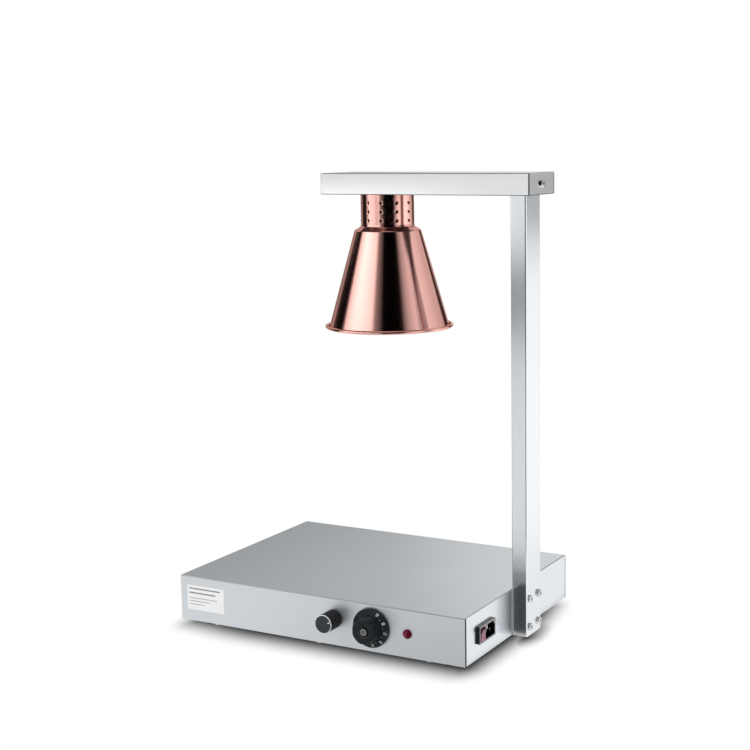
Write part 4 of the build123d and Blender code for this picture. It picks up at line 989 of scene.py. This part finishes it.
floor = bpy.data.objects.new("studio_floor", floor_mesh("studio_floor", FLOOR_SIDE))
floor.location.z = -FLOOR_DROP
floor.data.materials.append(floor_paper("floor_paper"))
bpy.context.scene.collection.objects.link(floor)

world = bpy.data.worlds.new("white_room")
bpy.context.scene.world = world
room = Tree(world)
direct, mirrored = ray_kinds(room)
dim = room.node("Background", sockets={"Color": grey(AMBIENT)})
white = room.node("Background", sockets={"Color": grey(1.0)})
walls = room.node("MixShader", sockets={0: direct.at_least(mirrored), 1: dim, 2: white})
room.node("OutputWorld", sockets={"Surface": walls})
print("floor and room ready")

# %% [markdown]
# ## Reflection cards
# Polished metal shows what stands round it. So curved cards hang in rings about the lamp head, as a
# photographer hangs them: white to the left, black near the camera, grey elsewhere. They are seen in
# reflections only. A picture of a studio round the scene would do the same, but plain cards with a
# few stops are easier to change.

# %% Reflection cards
CARD_REACH = 2.2
CARD_TOP = 7.0
CARD_STEP = 2.0
CARD_PAINT = "level"
TONGUE_START = 0.5
TONGUE_LEVEL = 1.0 * MM
# Each ring has a lower and an upper edge, then stops. A stop is a bearing in degrees, counted from
# the camera, and a brightness.
RINGS = [
    (1.9, CARD_TOP, [
        (-180, 0.5), (-160, 0.45), (-150, 0.1), (-48, 0.1), (-40, 0.5), (-30, 0.2), (-14, 0.0),
        (25, 0.0), (40, 0.5), (80, 0.75), (130, 0.6), (180, 0.5),
    ]),
    (0.95, 1.9, [
        (-180, 0.5), (-126, 0.6), (-121, 0.03), (-105, 0.0), (-101, 0.15), (-98, 1.0), (-76, 2.0),
        (-66, 2.0), (-38, 1.4), (-30, 0.3), (-14, 0.0), (26, 0.0), (39, 0.5), (57, 0.9),
        (65, 0.4), (69, 0.4), (82, 0.95), (120, 0.65), (129, 0.8), (137, 0.0), (146, 0.0),
        (157, 0.75), (180, 0.5),
    ]),
    (0.62, 0.95, [
        (-180, 0.62), (-165, 0.44), (-143, 0.5), (-131, 0.0), (-105, 0.0), (-101, 0.15),
        (-98, 0.9), (-90, 1.4), (-82, 1.4), (-66, 0.0), (25, 0.0), (57, 0.85), (65, 0.4),
        (69, 0.4), (82, 0.9), (120, 0.63), (129, 0.8), (137, 0.0), (146, 0.0), (157, 0.75),
        (168, 0.86), (174, 0.82), (180, 0.62),
    ]),
    (0.445, 0.62, [
        (-180, 0.45), (-170, 0.32), (-143, 0.38), (-134, 0.05), (-106, 0.0), (-97, 0.9),
        (-90, 1.3), (-68, 0.5), (-57, 0.7), (-51, 1.15), (-38, 1.1), (-30, 0.25), (-14, 0.0),
        (25, 0.0), (48, 1.0), (55, 0.95), (62, 0.4), (66, 0.4), (72, 1.2), (99, 1.0), (112, 0.55),
        (128, 0.5), (138, 0.0), (145, 0.0), (157, 0.8), (168, 0.85), (180, 0.45),
    ]),
    (0.36, 0.445, [
        (-180, 0.18), (-160, 0.18), (-141, 0.6), (-130, 0.0), (-101, 0.05), (-92, 0.5),
        (-84, 2.5), (-72, 3.2), (-62, 3.2), (-57, 2.6), (-51, 0.9), (-47, 0.95), (-43, 1.6),
        (-38, 1.6), (-30, 0.2), (-14, 0.0), (27, 0.0), (33, 0.25), (42, 1.5), (52, 1.5),
        (61, 0.6), (65, 0.6), (70, 2.5), (80, 2.4), (102, 1.5), (110, 0.8), (123, 0.5),
        (138, 0.0), (149, 0.0), (165, 0.55), (180, 0.18),
    ]),
    (0.27, 0.36, [
        (-180, 0.18), (-160, 0.18), (-143, 0.4), (-132, 0.0), (-106, 0.0), (-98, 1.1), (-38, 1.1),
        (-24, 0.1), (-14, 0.0), (25, 0.0), (40, 0.8), (60, 1.0), (128, 1.0), (137, 0.0),
        (148, 0.0), (160, 0.65), (180, 0.18),
    ]),
    (0.1, 0.27, [
        (-180, 0.4), (-143, 0.35), (-132, 0.0), (-106, 0.0), (-98, 0.08), (-24, 0.08), (-14, 0.0),
        (25, 0.0), (40, 0.8), (60, 1.2), (128, 1.2), (138, 0.1), (148, 0.1), (160, 0.8),
        (180, 0.4),
    ]),
    (0.02, 0.1, [
        (-180, 0.4), (-143, 0.35), (-132, 0.0), (-106, 0.0), (-98, 0.8), (-38, 0.8), (-24, 0.1),
        (-14, 0.0), (25, 0.0), (40, 0.8), (60, 1.2), (128, 1.2), (138, 0.1), (148, 0.1),
        (160, 0.8), (180, 0.4),
    ]),
]
# Dark strips on the floor under the dark parts of the rings.
TONGUES = [(-131, -104), (-16, 28), (137, 148)]
shade_low, shade_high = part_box("lamp_shade")
head_foot = (shade_low + shade_high) / 2
head_foot.z = 0
to_camera = CAMERA_PLACE - head_foot
camera_bearing = math.atan2(to_camera.y, to_camera.x)


def card_paint(tree):
    return tree.node("VertexColor", {"layer_name": CARD_PAINT})


def card_light(name):
    """A glow in the grey that is painted on the card's points."""
    material, tree = new_tree(name)
    light = tree.node("Emission", sockets={"Color": card_paint(tree)})
    tree.node("OutputMaterial", sockets={"Surface": light})
    return material


def only_in_reflections(name, mesh, material):
    piece = bpy.data.objects.new(name, mesh)
    mesh.materials.append(material)
    bpy.context.scene.collection.objects.link(piece)
    piece.visible_camera = piece.visible_diffuse = piece.visible_shadow = False


def between_stops(stops):
    """Bearings and brightnesses: a point at each stop, and more at even steps between them."""
    points = []
    for (start, first), (end, last) in zip(stops, stops[1:]):
        count = max(1, round((end - start) / CARD_STEP))
        for index in range(count):
            share = index / count
            points.append((start + share * (end - start), first + share * (last - first)))
    return points + [stops[-1]]


def card_mesh(name, near, far, stops):
    """A strip round the lamp head. Each edge has a distance from the head's axis and a height."""
    form = bmesh.new()
    points = between_stops(stops)
    rows = []
    for bearing, _ in points:
        turn = camera_bearing + math.radians(bearing)
        out = Vector((math.cos(turn), math.sin(turn), 0))
        places = [head_foot + reach * out + Vector((0, 0, z)) for reach, z in (near, far)]
        rows.append([form.verts.new(place) for place in places])
    for first, second in zip(rows, rows[1:]):
        form.faces.new((first[0], second[0], second[1], first[1]))
    mesh = bpy.data.meshes.new(name)
    form.to_mesh(mesh)
    form.free()
    paint = mesh.color_attributes.new(CARD_PAINT, "FLOAT_COLOR", "POINT")
    for index, point in enumerate(paint.data):
        point.color = grey(points[index // 2][1])
    return mesh


CARD_LIGHT = card_light("card_light")
for index, (low, high, stops) in enumerate(RINGS):
    mesh = card_mesh(f"ring_{index}", (CARD_REACH, low), (CARD_REACH, high), stops)
    only_in_reflections(f"ring_{index}", mesh, CARD_LIGHT)
tongue_edges = (TONGUE_START, TONGUE_LEVEL), (CARD_REACH, TONGUE_LEVEL)
for index, (start, end) in enumerate(TONGUES):
    mesh = card_mesh(f"tongue_{index}", *tongue_edges, [(start, 0.0), (end, 0.0)])
    only_in_reflections(f"tongue_{index}", mesh, CARD_LIGHT)
print(len(RINGS), "rings of cards round the lamp head")

# %% [markdown]
# ## A flag and a lid
# Where the post meets the side of the box, two mirrors stand at a right angle and show the space
# before the post twice. A photographer keeps such a corner dark with a flag, a small grey card.
# This one is clear from the front, so that the side of the box shows the pale floor through it. A
# dark patch on the floor would darken the corner too, but the side of the box would show it again.
#
# The lid is a grey ring that lies lower than the shade. The top of the box mirrors it, so from
# behind and from the left it shows an even grey, not the bright and black cards that the shade
# needs. It is clear from above, and open at the back, where the front view mirrors the other cards.
# Greyer cards would calm the top too, but the copper would lose its dark bands.

# %% Flag and lid
FLAG_GAP = 31 * MM
FLAG_LEFT, FLAG_RIGHT = -20 * MM, 38 * MM
FLAG_RISE = 20 * MM
# The greys of the flag, and where they change, counted from the right side and the top of the box.
FLAG_DARK, FLAG_PALE, FLAG_UPPER = 0.07, 1.15, 0.3
FLAG_FADE = (14 * MM, 36 * MM)
UPPER_START = (-5 * MM, 1 * MM)
UPPER_END = (8 * MM, 20 * MM)
LID_HEIGHT = 0.3
LID_START, LID_END = 0.18, 1.05
LID_STOPS = [(-125, 0.5), (120, 0.5)]


def one_sided(tree, level, share=1.0):
    """Closes a card that glows on its face and is clear from its back."""
    behind = tree.node("NewGeometry", output="Backfacing")
    clear = tree.node("BsdfTransparent")
    glow = tree.node("Emission", sockets={"Color": level})
    sheet = tree.node("MixShader", sockets={0: share * (1 - behind), 1: clear, 2: glow})
    tree.node("OutputMaterial", sockets={"Surface": sheet})


def flag_grey(name):
    """Dark beside the box, paler to the right and above the top of the box."""
    material, tree = new_tree(name)
    x, _, z = axes(tree, place_of(tree))
    beside, above = x - cover_high.x, z - cover_high.z
    level = FLAG_DARK + (FLAG_PALE - FLAG_DARK) * beside.step(*FLAG_FADE)
    level = level.at_least(FLAG_UPPER * above.step(*UPPER_START))
    one_sided(tree, level, 1 - above.step(*UPPER_END))
    return material


def lid_grey(name):
    material, tree = new_tree(name)
    one_sided(tree, card_paint(tree))
    return material


def flag_mesh(name):
    post_low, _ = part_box("post_tube")
    left, right = cover_high.x + FLAG_LEFT, cover_high.x + FLAG_RIGHT
    y, top = post_low.y - FLAG_GAP, cover_high.z + FLAG_RISE
    corners = [(left, y, 0), (left, y, top), (right, y, top), (right, y, 0)]
    mesh = bpy.data.meshes.new(name)
    mesh.from_pydata(corners, [], [(0, 1, 2, 3)])
    return mesh


only_in_reflections("grey_flag", flag_mesh("grey_flag"), flag_grey("flag_grey"))
lid = card_mesh("grey_lid", (LID_START, LID_HEIGHT), (LID_END, LID_HEIGHT), LID_STOPS)
only_in_reflections("grey_lid", lid, lid_grey("lid_grey"))
print("flag", round(FLAG_GAP / MM), "mm before the post, lid at", LID_HEIGHT, "m")

# %% [markdown]
# ## Lamps
# Two soft lamps light what isn't metal: one overhead and one at the left front. They are kept out
# of reflections, where the cards do that work.

# %% Lamps
# Each lamp has a place, a point that it lights, a side in metres and a power in watts.
LAMPS = {
    "overhead_softbox": ((-0.2, 0.25, 2.2), (0, 0, 0.1), 1.4, 26),
    "front_softbox": ((-0.9, -2.2, 1.3), (0, 0, 0.2), 1.2, 21),
}


def softbox(name, place, aim, side, watts):
    light = bpy.data.lights.new(name, "AREA")
    light.shape, light.size, light.energy = "SQUARE", side, watts
    lamp = bpy.data.objects.new(name, light)
    lamp.location = place
    lamp.rotation_euler = (Vector(aim) - Vector(place)).to_track_quat("-Z", "Y").to_euler()
    lamp.visible_glossy = False
    bpy.context.scene.collection.objects.link(lamp)


for name, settings in LAMPS.items():
    softbox(name, *settings)
print("lamps:", *LAMPS)
